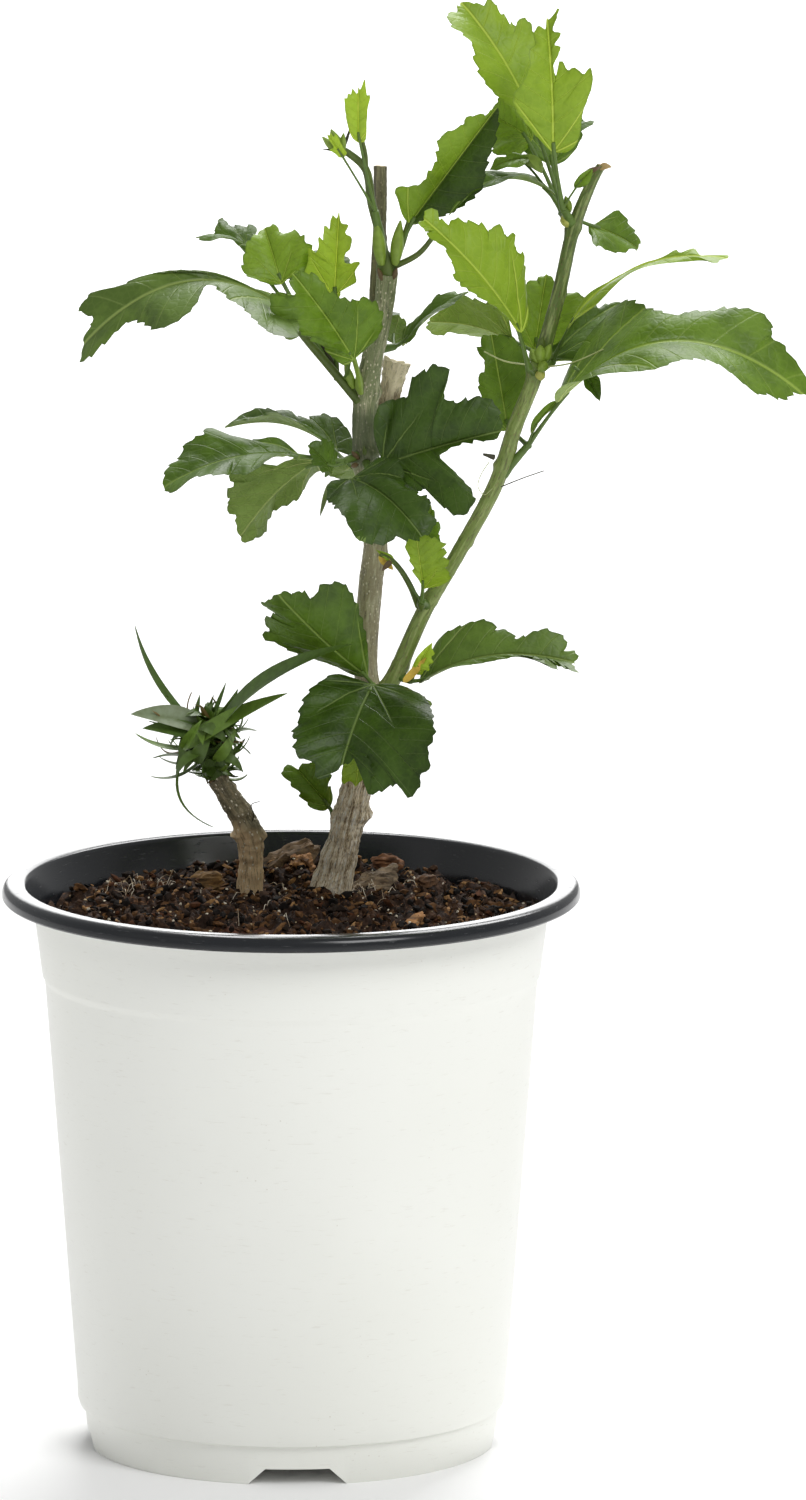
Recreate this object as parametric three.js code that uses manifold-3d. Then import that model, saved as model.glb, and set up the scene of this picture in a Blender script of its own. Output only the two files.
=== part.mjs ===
// A young rose of sharon in a round nursery pot: a short forked trunk, a side stem with a tuft of
// narrow leaves, two cut stubs, and leafy shoots that each branch from one twig.
// Millimetres, +Z up. The origin is the middle of the pot's flat underside, and -Y is the front.
// A direction is a heading, counted anticlockwise from +X, and a rise above the level, in degrees.
import * as THREE from "three";
import { mergeVertices } from "three/addons/utils/BufferGeometryUtils.js";
import Module from "manifold-3d";

const wasm = await Module();
wasm.setup();

// ---- Driving dimensions ----

const gap = 0.3; // clearance between neighbouring solids

const pot = {
  height: 118.6,
  wall: 1,
  rimRadius: 60, // outside of the rolled lip
  rimFlat: [55.3, 58], // the lip's flat top, from its inner edge to the start of its curl
  lipDrop: 3, // how far the lip's edge hangs below its top
  flareRadius: 53.3, // the wall where the rim flares out of it
  flareHeight: 111.8,
  bandRadius: 51.8, // the upper band's lower edge, with a small step in below it
  bandHeight: 99.6,
  bodyRadius: 51.2,
  bodyHeight: 98.6,
  footRadius: [42.2, 43.2], // the foot ring at the ground and under the body
  footHeight: 8,
  bodyFootRadius: 44.7,
  bodyFootHeight: 12.5,
  segments: 48,
};

const drain = {
  count: 4,
  turn: -88.1, // heading of the first channel
  mouth: [20.5, 13.3], // width at the ground and at the channel's ceiling
  height: 3.4,
  inner: 25, // where a channel starts, from the axis
  outer: 47,
  hole: [5, 7], // a drain slot's width and length in the ceiling
  holeRadius: 34,
};

const mix = {
  level: 110.8, // at the wall
  mound: 2.2, // extra height at the middle
  lump: 0.55,
  rings: 7,
  bed: 9, // radius of the smooth bed under a stem's foot
};

// Bark chips that lie in the mix: place, size, and how they are turned and tipped.
const barkChips = [
  { at: [-1, 40, 115.5], size: [13, 6, 6], heading: 15, rise: 25 },
  { at: [-17.5, 25, 113.6], size: [6.5, 4.6, 3.8], heading: 20, rise: 5 },
  { at: [17.5, 22.5, 114], size: [9.5, 4.5, 4.2], heading: 10, rise: 24 },
  { at: [25.5, -13, 112.4], size: [7.5, 2.2, 1.8], heading: 55, rise: 24 },
];

// A limb starts at its foot, or inside another limb at a height, and runs through its route.
// It has a radius at its start and one at each point of the route.
const limbs = {
  trunk: {
    foot: [7, 18, 113],
    route: [[10.5, 15, 122.5], [12, 13, 130], [13.5, 11.5, 136], [15.5, 10, 146.5], [17, 9, 154.5]],
    radii: [4.2, 3.4, 3.2, 3.2, 3.1, 3.1],
    sides: 10,
  },
  middle_stem: {
    from: "trunk",
    height: 154.5,
    route: [[15.5, 8.5, 161.5], [16.5, 8, 180], [17.5, 7.5, 189], [15.5, 6, 207.5], [15.5, 6, 218.5],
      [17, 5.5, 228.5], [19, 5, 237], [20, 4, 246]],
    radii: [2.5, 2.5, 2.5, 2.5, 2.7, 2.6, 2.2, 2, 2.2],
    sides: 8,
  },
  right_stem: {
    from: "trunk",
    height: 154.5,
    route: [[21, 7.5, 160], [27.5, 5.5, 174.5], [34.5, 3.5, 187], [42.5, 1, 202.5], [46.5, -0.5, 215],
      [50.5, -2, 225.5], [55, -3, 241.5], [58.5, -4, 257], [62.5, -4, 267], [64, -4, 269.5]],
    radii: [2, 2, 1.9, 1.75, 1.85, 1.8, 1.75, 1.5, 1.5, 1.1, 0.95],
    sides: 8,
  },
  middle_stub: {
    from: "middle_stem",
    height: 208,
    route: [[20, 10.5, 217], [21, 11.5, 222], [22, 12, 226]],
    radii: [2.2, 2.2, 2.3, 2.7],
    sides: 8,
  },
  top_stub: {
    from: "middle_stem",
    height: 231,
    route: [[17.5, 9, 238.5], [18.5, 11, 257.5], [18.5, 12, 267]],
    radii: [1.3, 1.35, 1.35, 1.4],
    sides: 7,
  },
  small_stem: {
    foot: [-9, 18.5, 113],
    route: [[-8.5, 16.5, 120], [-9, 14.5, 126.5], [-11, 13.5, 131], [-13.5, 12.5, 135], [-15.5, 12, 138.5]],
    radii: [2.8, 2.5, 2.9, 2.5, 2.2, 2.3],
    sides: 8,
  },
};

const twigRadius = [1.1, 0.75];
const stalkRadius = 0.55;
const bladeThickness = 0.65;
const sunk = 1.6; // how far a stalk runs on into its twig and its blade

// A shoot grows from a limb at a height: the tips of its twigs, then its leaves. A leaf has the
// foot and the tip of its blade, a width, and the way its upper face looks. arch and lobing are
// shares of its length and width, wedge narrows it to its foot, fold lifts its halves, and twist
// turns it along its length.
const shoots = {
  low_shoot: { on: "trunk", height: 129, twigs: [[8.5, 17, 130]], leaves: [
    { foot: [8, 17.5, 131], tip: [-0.5, 17, 141], width: 12, facing: [-90, 20], wedge: 0.7 },
  ] },
  fork_front: { on: "trunk", height: 153, twigs: [[17, 2.5, 159.5]], leaves: [
    { foot: [17, 1, 160], tip: [9, -20, 140], width: 27, facing: [-100, 45], arch: 0.1, wedge: 0 },
    { foot: [19.5, -1, 159.5], tip: [24, -17, 141], width: 20, facing: [-75, 45], arch: 0.1, wedge: 0 },
    { foot: [16, 2, 161.5], tip: [-3.5, -9, 182], width: 25, facing: [-115, 0],
      arch: 0.05, fold: -28, lobing: 0.6, wedge: 0.9 },
    { foot: [16, -4, 158], tip: [15.5, -4, 140.5], width: 7, facing: [-90, 15] },
  ] },
  fork_rear: { on: "trunk", height: 151, twigs: [[17.5, 15, 154]], leaves: [
    { foot: [17.5, 18, 153], tip: [20, 38, 136], width: 22, facing: [90, 40], arch: 0.12 },
  ] },
  fork_right: { on: "right_stem", height: 161, twigs: [[25, 5.5, 160]], leaves: [
    { foot: [26.5, 5.5, 159.5], tip: [59, -2, 165], width: 17, facing: [-90, 60],
      arch: 0.14, fold: 25, lobing: 0.3 },
    { foot: [25, 2.5, 161.5], tip: [29.5, 1, 168.5], width: 6, facing: [-90, 20] },
  ] },
  mid_left: { on: "middle_stem", height: 208, twigs: [[11, 1, 207]], leaves: [
    { foot: [2, -4, 209], tip: [-26, -14, 204], width: 24, facing: [-90, 75], arch: 0.1 },
    { foot: [5, 4, 206.5], tip: [-10.5, 8, 190], width: 25, facing: [90, 55], fold: 5 },
    { foot: [9.5, 11, 207.5], tip: [-14, 15, 211.5], width: 16, facing: [-90, 88], arch: 0.15, fold: 20 },
    { foot: [8.5, -1, 205], tip: [3.5, -3, 211], width: 9, facing: [-90, 55] },
  ] },
  mid_front: { on: "middle_stem", height: 206.5, twigs: [[16, -1.5, 205.5]], leaves: [
    { foot: [12.5, -6, 204.5], tip: [27, -21, 195], width: 24, facing: [-90, 60], arch: 0.12 },
    { foot: [19, -3, 207], tip: [43.5, -9, 215], width: 31, facing: [-90, 25],
      arch: 0.05, lobing: 1, wedge: 0.6 },
  ] },
  mid_rear: { on: "middle_stem", height: 205.5, twigs: [[17, 12, 203.5]], leaves: [
    { foot: [17, 15, 202.5], tip: [20, 40, 187.5], width: 22, facing: [90, 60], arch: 0.12 },
  ] },
  upper_left: { on: "middle_stem", height: 219, twigs: [[9.5, 5, 224]], leaves: [
    { foot: [-1, 2, 238.5], tip: [-42.5, -8, 233], width: 25, facing: [-90, 76],
      arch: 0.24, fold: 8, twist: -40, lobing: 0.2 },
    { foot: [13, -4, 229], tip: [0.5, -10, 248], width: 23, facing: [-90, 30], from: 0.75 },
    { foot: [9, 8, 240], tip: [10, 10, 258], width: 13, facing: [-90, 10], lobing: 1 },
    { foot: [-2, 7, 243], tip: [-5.5, 15, 253.5], width: 17, facing: [-90, 40] },
    { foot: [-9, 17, 249.5], tip: [-19, 20, 250.5], width: 12, facing: [-90, 75], arch: 0.15 },
    { foot: [2.5, 5, 233.5], tip: [-4, 7, 239], width: 10, facing: [90, 20] },
    { foot: [7, 20, 237.5], tip: [0, 40, 244.5], width: 18, facing: [-90, 78] },
  ] },
  inner_right: { on: "middle_stem", height: 229.5, twigs: [[21.5, 7, 230]], leaves: [
    { foot: [23, 8, 230], tip: [37, 10, 241], width: 14, facing: [-90, 85] },
    { foot: [21, 12, 230], tip: [22.5, 17, 235], width: 8, facing: [90, 20] },
  ] },
  inner_rear: { on: "middle_stem", height: 228, twigs: [[16, 13, 228]], leaves: [
    { foot: [15, 16, 228], tip: [10.5, 38, 232], width: 20, facing: [-90, 85] },
  ] },
  top_left: { on: "middle_stem", height: 246, twigs: [[17.5, 0, 259.5], [22, 2, 250]], leaves: [
    { foot: [14, -2, 274], tip: [14, -3, 287], width: 6.5, facing: [-90, 10] },
    { foot: [11, -2, 271], tip: [7.5, -3, 276], width: 4, facing: [-90, 10] },
    { foot: [24.5, 1, 256.5], tip: [40.5, -8, 279.5], width: 17, facing: [-90, 10],
      arch: 0.04, fold: 30, lobing: 0.2, twig: 1 },
  ] },
  low_right: { on: "right_stem", height: 176, twigs: [[27, 1, 177.5]], leaves: [
    { foot: [27.5, -1, 180.5], tip: [26, -4, 192], width: 9, facing: [-90, 10] },
    { foot: [28, 7, 185], tip: [29, 9, 196.5], width: 8, facing: [-90, 10] },
    { foot: [22, 0, 186], tip: [17, -2, 189], width: 4, facing: [-90, 30] },
  ] },
  mid_right_front: { on: "right_stem", height: 226, twigs: [[49, -6, 228]], leaves: [
    { foot: [47.5, -9, 235.5], tip: [27.5, -15, 260], width: 21, facing: [-60, 45], arch: 0.06 },
  ] },
  mid_right_back: { on: "right_stem", height: 226.5, twigs: [[54, 3, 227.5]], leaves: [
    { foot: [46, 18, 229.5], tip: [28.5, 24, 232.5], width: 21, facing: [90, 50] },
    { foot: [57, -5, 235.5], tip: [90, -9, 251], width: 12, facing: [-90, 77], arch: 0.17, fold: 5 },
    { foot: [55.5, 20, 228], tip: [70.5, 28, 236.5], width: 20, facing: [-90, 70] },
    { foot: [50.5, 17, 228.5], tip: [53, 24, 242.5], width: 15, facing: [-90, 30] },
  ] },
  low_side: { on: "right_stem", height: 203, twigs: [[49, 0, 210.5]], leaves: [
    { foot: [55, -6, 220.5], tip: [105.5, -11, 223], width: 27, facing: [-90, 75],
      arch: 0.27, fold: 10, twist: 60, lobing: 0.2 },
    { foot: [45, 9, 212], tip: [41.5, 10, 232], width: 13, facing: [-90, 10] },
    { foot: [49.5, -3, 213.5], tip: [55, -4, 220.5], width: 4, facing: [-90, 35] },
    { foot: [61.5, 10, 223], tip: [63.5, 12, 217.5], width: 4, facing: [-90, 20] },
  ] },
  top_right: { on: "right_stem", height: 257, twigs: [[56, -7, 261]], leaves: [
    { foot: [54, -9, 273], tip: [52.5, -11, 303], width: 20, facing: [-80, 0], lobing: 0.9 },
    { foot: [51.5, 1, 274], tip: [35, 6, 302], width: 21, facing: [-60, 45], lobing: 0.9 },
    { foot: [58.5, -11, 265], tip: [62, -13, 270], width: 5, facing: [-90, 15] },
  ] },
  top_rear: { on: "right_stem", height: 256, twigs: [[56, 3, 258.5]], leaves: [
    { foot: [54.5, 2, 262.5], tip: [32.5, 3, 257.5], width: 14, facing: [-90, 85], arch: 0.24 },
    { foot: [46.5, -5, 266.5], tip: [49.5, -6, 272], width: 5, facing: [-90, 30] },
    { foot: [50, 12, 272.5], tip: [41.5, 15, 277], width: 12, facing: [-90, 30] },
    { foot: [61.5, 6, 255.5], tip: [72, 11, 249.5], width: 14, facing: [-90, 50] },
    { foot: [54, 12, 267], tip: [53, 28, 278.5], width: 18, facing: [-90, 55] },
  ] },
};

// The tuft on the small stem: a dense heart of crowded bases, and strap leaves round it.
const tuft = {
  middle: [-18, 11.5, 146],
  radii: [6.4, 5.4, 7.8],
  straps: [
    { foot: [-20, 10, 152], tip: [-32.5, 7, 172], width: 1.8, facing: [-45, 25], arch: -0.07 },
    { foot: [-19, 10, 150], tip: [-34, 8, 151.5], width: 5.5, facing: [-90, 50], arch: 0 },
    { foot: [-17, 9, 149], tip: [13, -12, 171], width: 4.5, facing: [-90, 55], arch: 0.1 },
    { foot: [-19, 8, 147], tip: [-1, 0, 158.5], width: 4.2, facing: [-90, 50], arch: 0.08 },
    { foot: [-22, 9, 145.5], tip: [-32, 6, 148.5], width: 2, facing: [-90, 70], arch: -0.1 },
    { foot: [-23, 9.5, 145], tip: [-16, 2, 129.5], width: 1.6, facing: [180, -32], arch: 0.22 },
  ],
  fillers: 9,
  fillerLength: [10, 16],
  fillerWidth: 2.4,
  seed: 7,
};

// Half a blade's outline from its foot to its tip: how far out an edge point lies, as a share of
// half the width, how far along, and where the midrib point of the same rib is. A notch is drawn
// in by lobing.
const outline = [
  { out: 0.5, along: 0.08, rib: 0.04 },
  { out: 0.84, along: 0.24, rib: 0.12 },
  { out: 0.82, along: 0.32, rib: 0.18, notch: 0.12 },
  { out: 1, along: 0.52, rib: 0.28 },
  { out: 0.72, along: 0.56, rib: 0.38, notch: 0.34 },
  { out: 0.72, along: 0.7, rib: 0.5 },
  { out: 0.5, along: 0.75, rib: 0.6, notch: 0.1 },
  { out: 0.42, along: 0.87, rib: 0.74 },
];

const colours = {
  pot: 0xe9e8e4,
  mix: 0x3b2a20,
  bark: 0x8b775f,
  stem: 0x6c6a4e,
  green: 0x2f5c22,
};

// ---- Geometry helpers ----

const radians = THREE.MathUtils.degToRad;
const vector = (numbers) => new THREE.Vector3(...numbers);

// The same numbers each run, from 0 to 1.
function seeded(seed) {
  let state = seed;
  return () => {
    state = (state * 16807) % 2147483647;
    return state / 2147483647;
  };
}

function direction(heading, rise) {
  const flat = Math.cos(radians(rise));
  return new THREE.Vector3(
    flat * Math.cos(radians(heading)),
    flat * Math.sin(radians(heading)),
    Math.sin(radians(rise)),
  );
}

// A closed surface through rings of points. Each ring runs anticlockwise seen from the last one,
// and the first and last rings are single points.
function loft(rings) {
  const positions = [];
  const starts = rings.map((ring) => {
    const start = positions.length / 3;
    ring.forEach((point) => positions.push(point.x, point.y, point.z));
    return start;
  });
  const index = [];
  for (let i = 0; i + 1 < rings.length; i++) {
    const sides = Math.max(rings[i].length, rings[i + 1].length);
    for (let j = 0; j < sides; j++) {
      const near = (k) => starts[i] + (k % rings[i].length);
      const far = (k) => starts[i + 1] + (k % rings[i + 1].length);
      if (rings[i].length > 1) index.push(near(j), near(j + 1), far(j + 1));
      if (rings[i + 1].length > 1) index.push(near(j), far(j + 1), far(j));
    }
  }
  const geometry = new THREE.BufferGeometry();
  geometry.setAttribute("position", new THREE.Float32BufferAttribute(positions, 3));
  geometry.setIndex(index);
  return geometry;
}

// A round or many-sided tube along a curve. radiusAt takes the share of the way along.
function tube(curve, radiusAt, stations, sides, levelFoot = false) {
  const { tangents, normals, binormals } = curve.computeFrenetFrames(stations, false);
  const rings = [];
  for (let i = 0; i <= stations; i++) {
    const middle = curve.getPointAt(i / stations);
    const ring = [];
    for (let j = 0; j < sides; j++) {
      const angle = (j / sides) * Math.PI * 2;
      const point = middle
        .clone()
        .addScaledVector(normals[i], radiusAt(i / stations) * Math.cos(angle))
        .addScaledVector(binormals[i], radiusAt(i / stations) * Math.sin(angle));
      if (levelFoot && i === 0)
        point.addScaledVector(tangents[0], (middle.z - point.z) / tangents[0].z);
      ring.push(point);
    }
    if (i === 0) rings.push([middle]);
    rings.push(ring);
    if (i === stations) rings.push([middle.clone()]);
  }
  return loft(rings);
}

// ---- Solids ----

function solidOf(geometry) {
  const bare = geometry.clone();
  bare.deleteAttribute("normal");
  bare.deleteAttribute("uv");
  const merged = mergeVertices(bare, 1e-4);
  return new wasm.Manifold(
    new wasm.Mesh({
      numProp: 3,
      vertProperties: new Float32Array(merged.attributes.position.array),
      triVerts: new Uint32Array(merged.index.array),
    }),
  );
}

// A cut can leave scraps behind: only the largest body is kept.
function largest(solid) {
  return solid.decompose().reduce((best, body) => (body.volume() > best.volume() ? body : best));
}

function geometryOf(solid) {
  const mesh = solid.getMesh();
  const positions = [];
  for (let i = 0; i < mesh.numVert; i++)
    positions.push(...mesh.vertProperties.subarray(i * mesh.numProp, i * mesh.numProp + 3));
  const geometry = new THREE.BufferGeometry();
  geometry.setAttribute("position", new THREE.Float32BufferAttribute(positions, 3));
  geometry.setIndex(new THREE.BufferAttribute(mesh.triVerts, 1));
  geometry.computeVertexNormals();
  return geometry;
}

const touches = (a, b) => !a.intersect(b).isEmpty();

// ---- The pot ----

// The pot's half section outside its wall, from the ground to the lip's flat top.
function potOutside() {
  const p = pot;
  const lipEdge = p.height - p.lipDrop;
  return [
    [p.footRadius[0], 0],
    [p.footRadius[1], p.footHeight],
    [p.bodyFootRadius - 0.4, p.footHeight + 0.6],
    [p.bodyFootRadius, p.bodyFootHeight],
    [p.bodyRadius, p.bodyHeight],
    [p.bandRadius, p.bandHeight],
    [p.flareRadius, p.flareHeight],
    [p.flareRadius + 1, p.height - 3.4],
    [p.rimFlat[0] + 1, p.height - 1.3],
    [p.rimFlat[1] + 0.2, p.height - 1.6],
    [p.rimRadius - p.wall, lipEdge],
    [p.rimRadius, lipEdge],
    [p.rimRadius, lipEdge + 1],
    [p.rimRadius - 0.6, p.height - 0.6],
    [p.rimFlat[1], p.height],
    [p.rimFlat[0], p.height],
  ];
}

// The same wall inside, from the lip down to the floor. inset draws it further in.
function potInside(inset) {
  const p = pot;
  const wall = p.wall + inset;
  return [
    [p.flareRadius + 1 - inset, p.height - 1.4],
    [p.flareRadius - inset, p.flareHeight + 2.2],
    [p.flareRadius - wall, p.flareHeight],
    [p.bandRadius - wall, p.bandHeight],
    [p.bodyRadius - wall, p.bodyHeight],
    [p.bodyFootRadius - wall, p.bodyFootHeight],
    [p.footRadius[1] - wall, p.footHeight],
    [p.footRadius[0] - wall, p.wall + inset],
  ];
}

// A drain channel as a block with sloping sides, grown all round by a margin.
function channelBlock(turn, margin) {
  const bottom = drain.mouth[0] / 2 + margin;
  const top = drain.mouth[1] / 2 + margin;
  const section = new THREE.Shape();
  section.moveTo(-bottom, -1);
  section.lineTo(bottom, -1);
  section.lineTo(top, drain.height + margin);
  section.lineTo(-top, drain.height + margin);
  section.closePath();
  const length = drain.outer - drain.inner + margin;
  const block = new THREE.ExtrudeGeometry(section, { depth: length, bevelEnabled: false });
  block.rotateX(Math.PI / 2); // the section's height along +Z, the length along -Y
  block.rotateZ(Math.PI / 2); // the length along +X
  block.translate(drain.inner - margin, 0, 0);
  block.rotateZ(radians(turn));
  return solidOf(block);
}

function drainSlot(turn) {
  const slot = new THREE.BoxGeometry(drain.hole[1], drain.hole[0], 20);
  slot.translate(drain.holeRadius, 0, 0);
  slot.rotateZ(radians(turn));
  return solidOf(slot);
}

function eachChannel(make) {
  return Array.from({ length: drain.count }, (_, i) => make(drain.turn + (i * 360) / drain.count));
}

function lathe(profile) {
  const geometry = new THREE.LatheGeometry(
    profile.map(([radius, height]) => new THREE.Vector2(radius, height)),
    pot.segments,
  );
  geometry.rotateX(Math.PI / 2);
  return solidOf(geometry);
}

function makePot() {
  const shell = lathe([[0, 0], ...potOutside(), ...potInside(0), [0, pot.wall]]);
  const filled = lathe([[0, 0], ...potOutside(), [0, pot.height]]);
  let body = shell;
  for (const roof of eachChannel((turn) => channelBlock(turn, pot.wall)))
    body = body.add(roof.intersect(filled));
  for (const channel of eachChannel((turn) => channelBlock(turn, 0))) body = body.subtract(channel);
  for (const slot of eachChannel(drainSlot)) body = body.subtract(slot);
  return largest(body);
}

// ---- Limbs ----

const limbCurves = {};

function limbCurve(name) {
  if (limbCurves[name]) return limbCurves[name];
  const { foot, from, height, route } = limbs[name];
  const start = foot ? vector(foot) : limbPoint(from, height);
  limbCurves[name] = new THREE.CatmullRomCurve3([start, ...route.map(vector)], false, "centripetal");
  return limbCurves[name];
}

// The point of a limb's middle line at a height.
function limbPoint(name, height) {
  const curve = limbCurve(name);
  let [below, above] = [0, 1];
  for (let i = 0; i < 24; i++) {
    const share = (below + above) / 2;
    if (curve.getPoint(share).z < height) below = share;
    else above = share;
  }
  return curve.getPoint(above);
}

// A limb's radius at a share of its length.
function limbRadius(name, share) {
  const { radii } = limbs[name];
  const place = limbCurve(name).getUtoTmapping(share) * (radii.length - 1);
  const i = Math.min(Math.floor(place), radii.length - 2);
  return THREE.MathUtils.lerp(radii[i], radii[i + 1], place - i);
}

function limbSolid(name, margin = 0) {
  const { sides, route, foot } = limbs[name];
  let curve = limbCurve(name);
  if (margin) {
    const ends = [0, 1].map((share) => curve.getPointAt(share));
    ends[0].addScaledVector(curve.getTangentAt(0), -margin);
    ends[1].addScaledVector(curve.getTangentAt(1), margin);
    const points = [ends[0], ...curve.points.slice(1, -1), ends[1]];
    curve = new THREE.CatmullRomCurve3(points, false, "centripetal");
  }
  const radiusAt = (share) => limbRadius(name, share) + margin;
  return solidOf(tube(curve, radiusAt, route.length * 2, sides, Boolean(foot) && !margin));
}

// ---- The potting mix ----

function lumps(x, y) {
  const broad = Math.sin(x * 0.31 + y * 0.17) * Math.cos(y * 0.27 - x * 0.11);
  return broad + 0.6 * Math.sin(x * 0.7 - y * 0.5);
}

function mixHeight(x, y) {
  const share = Math.hypot(x, y) / pot.bodyRadius;
  let height = mix.level + mix.mound * (1 - share ** 2) + mix.lump * lumps(x, y);
  for (const { foot } of [limbs.trunk, limbs.small_stem]) {
    const away = Math.hypot(x - foot[0], y - foot[1]);
    const bed = THREE.MathUtils.smoothstep(away, mix.bed, mix.bed * 1.6);
    height = THREE.MathUtils.lerp(foot[2] - gap, height, bed);
  }
  return height;
}

function makeMix() {
  const ring = (radius, heightAt) =>
    Array.from({ length: pot.segments }, (_, j) => {
      const angle = (j / pot.segments) * Math.PI * 2;
      const x = radius * Math.cos(angle);
      const y = radius * Math.sin(angle);
      return new THREE.Vector3(x, y, heightAt(x, y));
    });
  const wall = potInside(gap).reverse().filter(([, height]) => height < mix.level - 5);
  const edge = THREE.MathUtils.lerp(pot.bandRadius, pot.flareRadius, 0.85) - pot.wall - gap;
  const rings = [[new THREE.Vector3(0, 0, pot.wall + gap)]];
  for (const [radius, height] of wall) rings.push(ring(radius, () => height));
  for (let i = 0; i < mix.rings; i++) rings.push(ring(edge * (1 - i / mix.rings), mixHeight));
  rings.push([new THREE.Vector3(0, 0, mixHeight(0, 0))]);
  let body = solidOf(loft(rings));
  for (const roof of eachChannel((turn) => channelBlock(turn, pot.wall + gap)))
    body = body.subtract(roof);
  for (const chip of barkChips) body = body.add(barkChip(chip));
  for (const name of ["trunk", "small_stem"]) body = body.subtract(limbSolid(name, gap));
  return largest(body);
}

// A chip is a block whose corners are drawn in unevenly.
function barkChip({ at, size, heading, rise }) {
  const block = new THREE.BoxGeometry(...size, 2, 1, 1);
  const corners = block.attributes.position;
  for (let i = 0; i < corners.count; i++) {
    const [x, y, z] = [corners.getX(i), corners.getY(i), corners.getZ(i)];
    const taper = 1 - 0.35 * Math.abs(x / size[0]) - 0.15 * Math.sign(y * z * x);
    corners.setXYZ(i, x, y * taper, z * taper);
  }
  block.rotateY(-radians(rise));
  block.rotateZ(radians(heading));
  block.translate(...at);
  return solidOf(block);
}

// ---- Leaves and shoots ----

// A blade's own axes: along its chord, across it, and out of its upper face.
function bladeAxes(leaf, turn) {
  const along = vector(leaf.tip).sub(vector(leaf.foot)).normalize();
  const across = new THREE.Vector3().crossVectors(along, direction(...leaf.facing)).normalize();
  across.applyAxisAngle(along, radians(turn));
  return { along, across, face: new THREE.Vector3().crossVectors(across, along) };
}

// A point of a blade. side runs from -1 to 1 across it and share from 0 to 1 along it.
function bladePoint(leaf, side, share, lift) {
  const { across, face } = bladeAxes(leaf, (leaf.twist ?? 0) * (share - 0.5));
  const fold = radians(leaf.fold ?? 12);
  const half = (leaf.width / 2) * side;
  const foot = vector(leaf.foot);
  const length = foot.distanceTo(vector(leaf.tip));
  const bow = (leaf.arch ?? 0.08) * length * 4 * share * (1 - share);
  return foot
    .lerp(vector(leaf.tip), share)
    .addScaledVector(across, half * Math.cos(fold))
    .addScaledVector(face, Math.abs(half) * Math.sin(fold) + lift)
    .addScaledVector(bladeAxes(leaf, 0).face, bow);
}

// Rings across a blade at edge points of [side, share, rib]. It is thickest along its midrib.
function bladeLoft(leaf, edges, thickness) {
  const rings = [[bladePoint(leaf, 0, 0, 0)]];
  for (const [side, share, rib] of edges)
    rings.push([
      bladePoint(leaf, side, share, 0),
      bladePoint(leaf, 0, rib, -thickness / 2),
      bladePoint(leaf, -side, share, 0),
      bladePoint(leaf, 0, rib, thickness / 2),
    ]);
  rings.push([bladePoint(leaf, 0, 1, 0)]);
  return solidOf(loft(rings));
}

function bladeSolid(leaf, thickness) {
  const { lobing = 0.5, wedge = 0.3 } = leaf;
  const edges = outline.map(({ out, along, rib, notch = 0 }) => {
    const narrowed = 1 - wedge * Math.max(0, 1 - along * 2);
    return [out * narrowed * (1 - notch * lobing * 1.6), along, rib];
  });
  return bladeLoft(leaf, edges, thickness);
}

// A strap is a long narrow blade with smooth edges.
function strapSolid(leaf, thickness) {
  const bulge = (share) => Math.sin(Math.PI * Math.min(0.95, share + 0.12)) ** 0.7;
  return bladeLoft(leaf, [0.12, 0.35, 0.6, 0.82].map((share) => [bulge(share), share, share]), thickness);
}

// A stalk bends from its twig into the line of its blade, and runs on into both.
function stalkSolid(start, leaf, radius) {
  const foot = vector(leaf.foot);
  const out = foot.clone().sub(start).normalize();
  const into = bladePoint(leaf, 0, (sunk * 1.5) / foot.distanceTo(vector(leaf.tip)), 0);
  const curve = new THREE.QuadraticBezierCurve3(
    start.clone().addScaledVector(out, -sunk * 0.4),
    start.clone().lerp(foot, 0.7),
    into,
  );
  return solidOf(tube(curve, () => radius, 3, 3));
}

// One mass: its twigs, cut clear of every limb, with each leaf fused on that touches neither a
// limb nor anything that already stands.
function makeShoot(name, standing) {
  const shoot = shoots[name];
  const root = limbPoint(shoot.on, shoot.height);
  const clearOf = Object.keys(limbs).map((limb) => limbSolid(limb, gap));
  const tips = shoot.twigs.map(vector);
  let body;
  for (const tip of tips) {
    const radiusAt = (share) => THREE.MathUtils.lerp(...twigRadius, share);
    const twig = solidOf(tube(new THREE.LineCurve3(root, tip), radiusAt, 2, 5));
    body = body ? body.add(twig) : twig;
  }
  for (const limb of clearOf) body = body.subtract(limb);
  for (const leaf of shoot.leaves) {
    const start = root.clone().lerp(tips[leaf.twig ?? 0], leaf.from ?? 1);
    const size = Math.min(1, 0.35 + leaf.width / 20);
    const grown = (margin) => {
      const stalk = stalkSolid(start, leaf, stalkRadius * size + margin);
      return bladeSolid(leaf, bladeThickness * size + margin).add(stalk);
    };
    const room = grown(gap);
    if ([...clearOf, ...standing].some((other) => touches(room, other))) continue;
    body = body.add(grown(0));
  }
  return largest(body);
}

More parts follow.
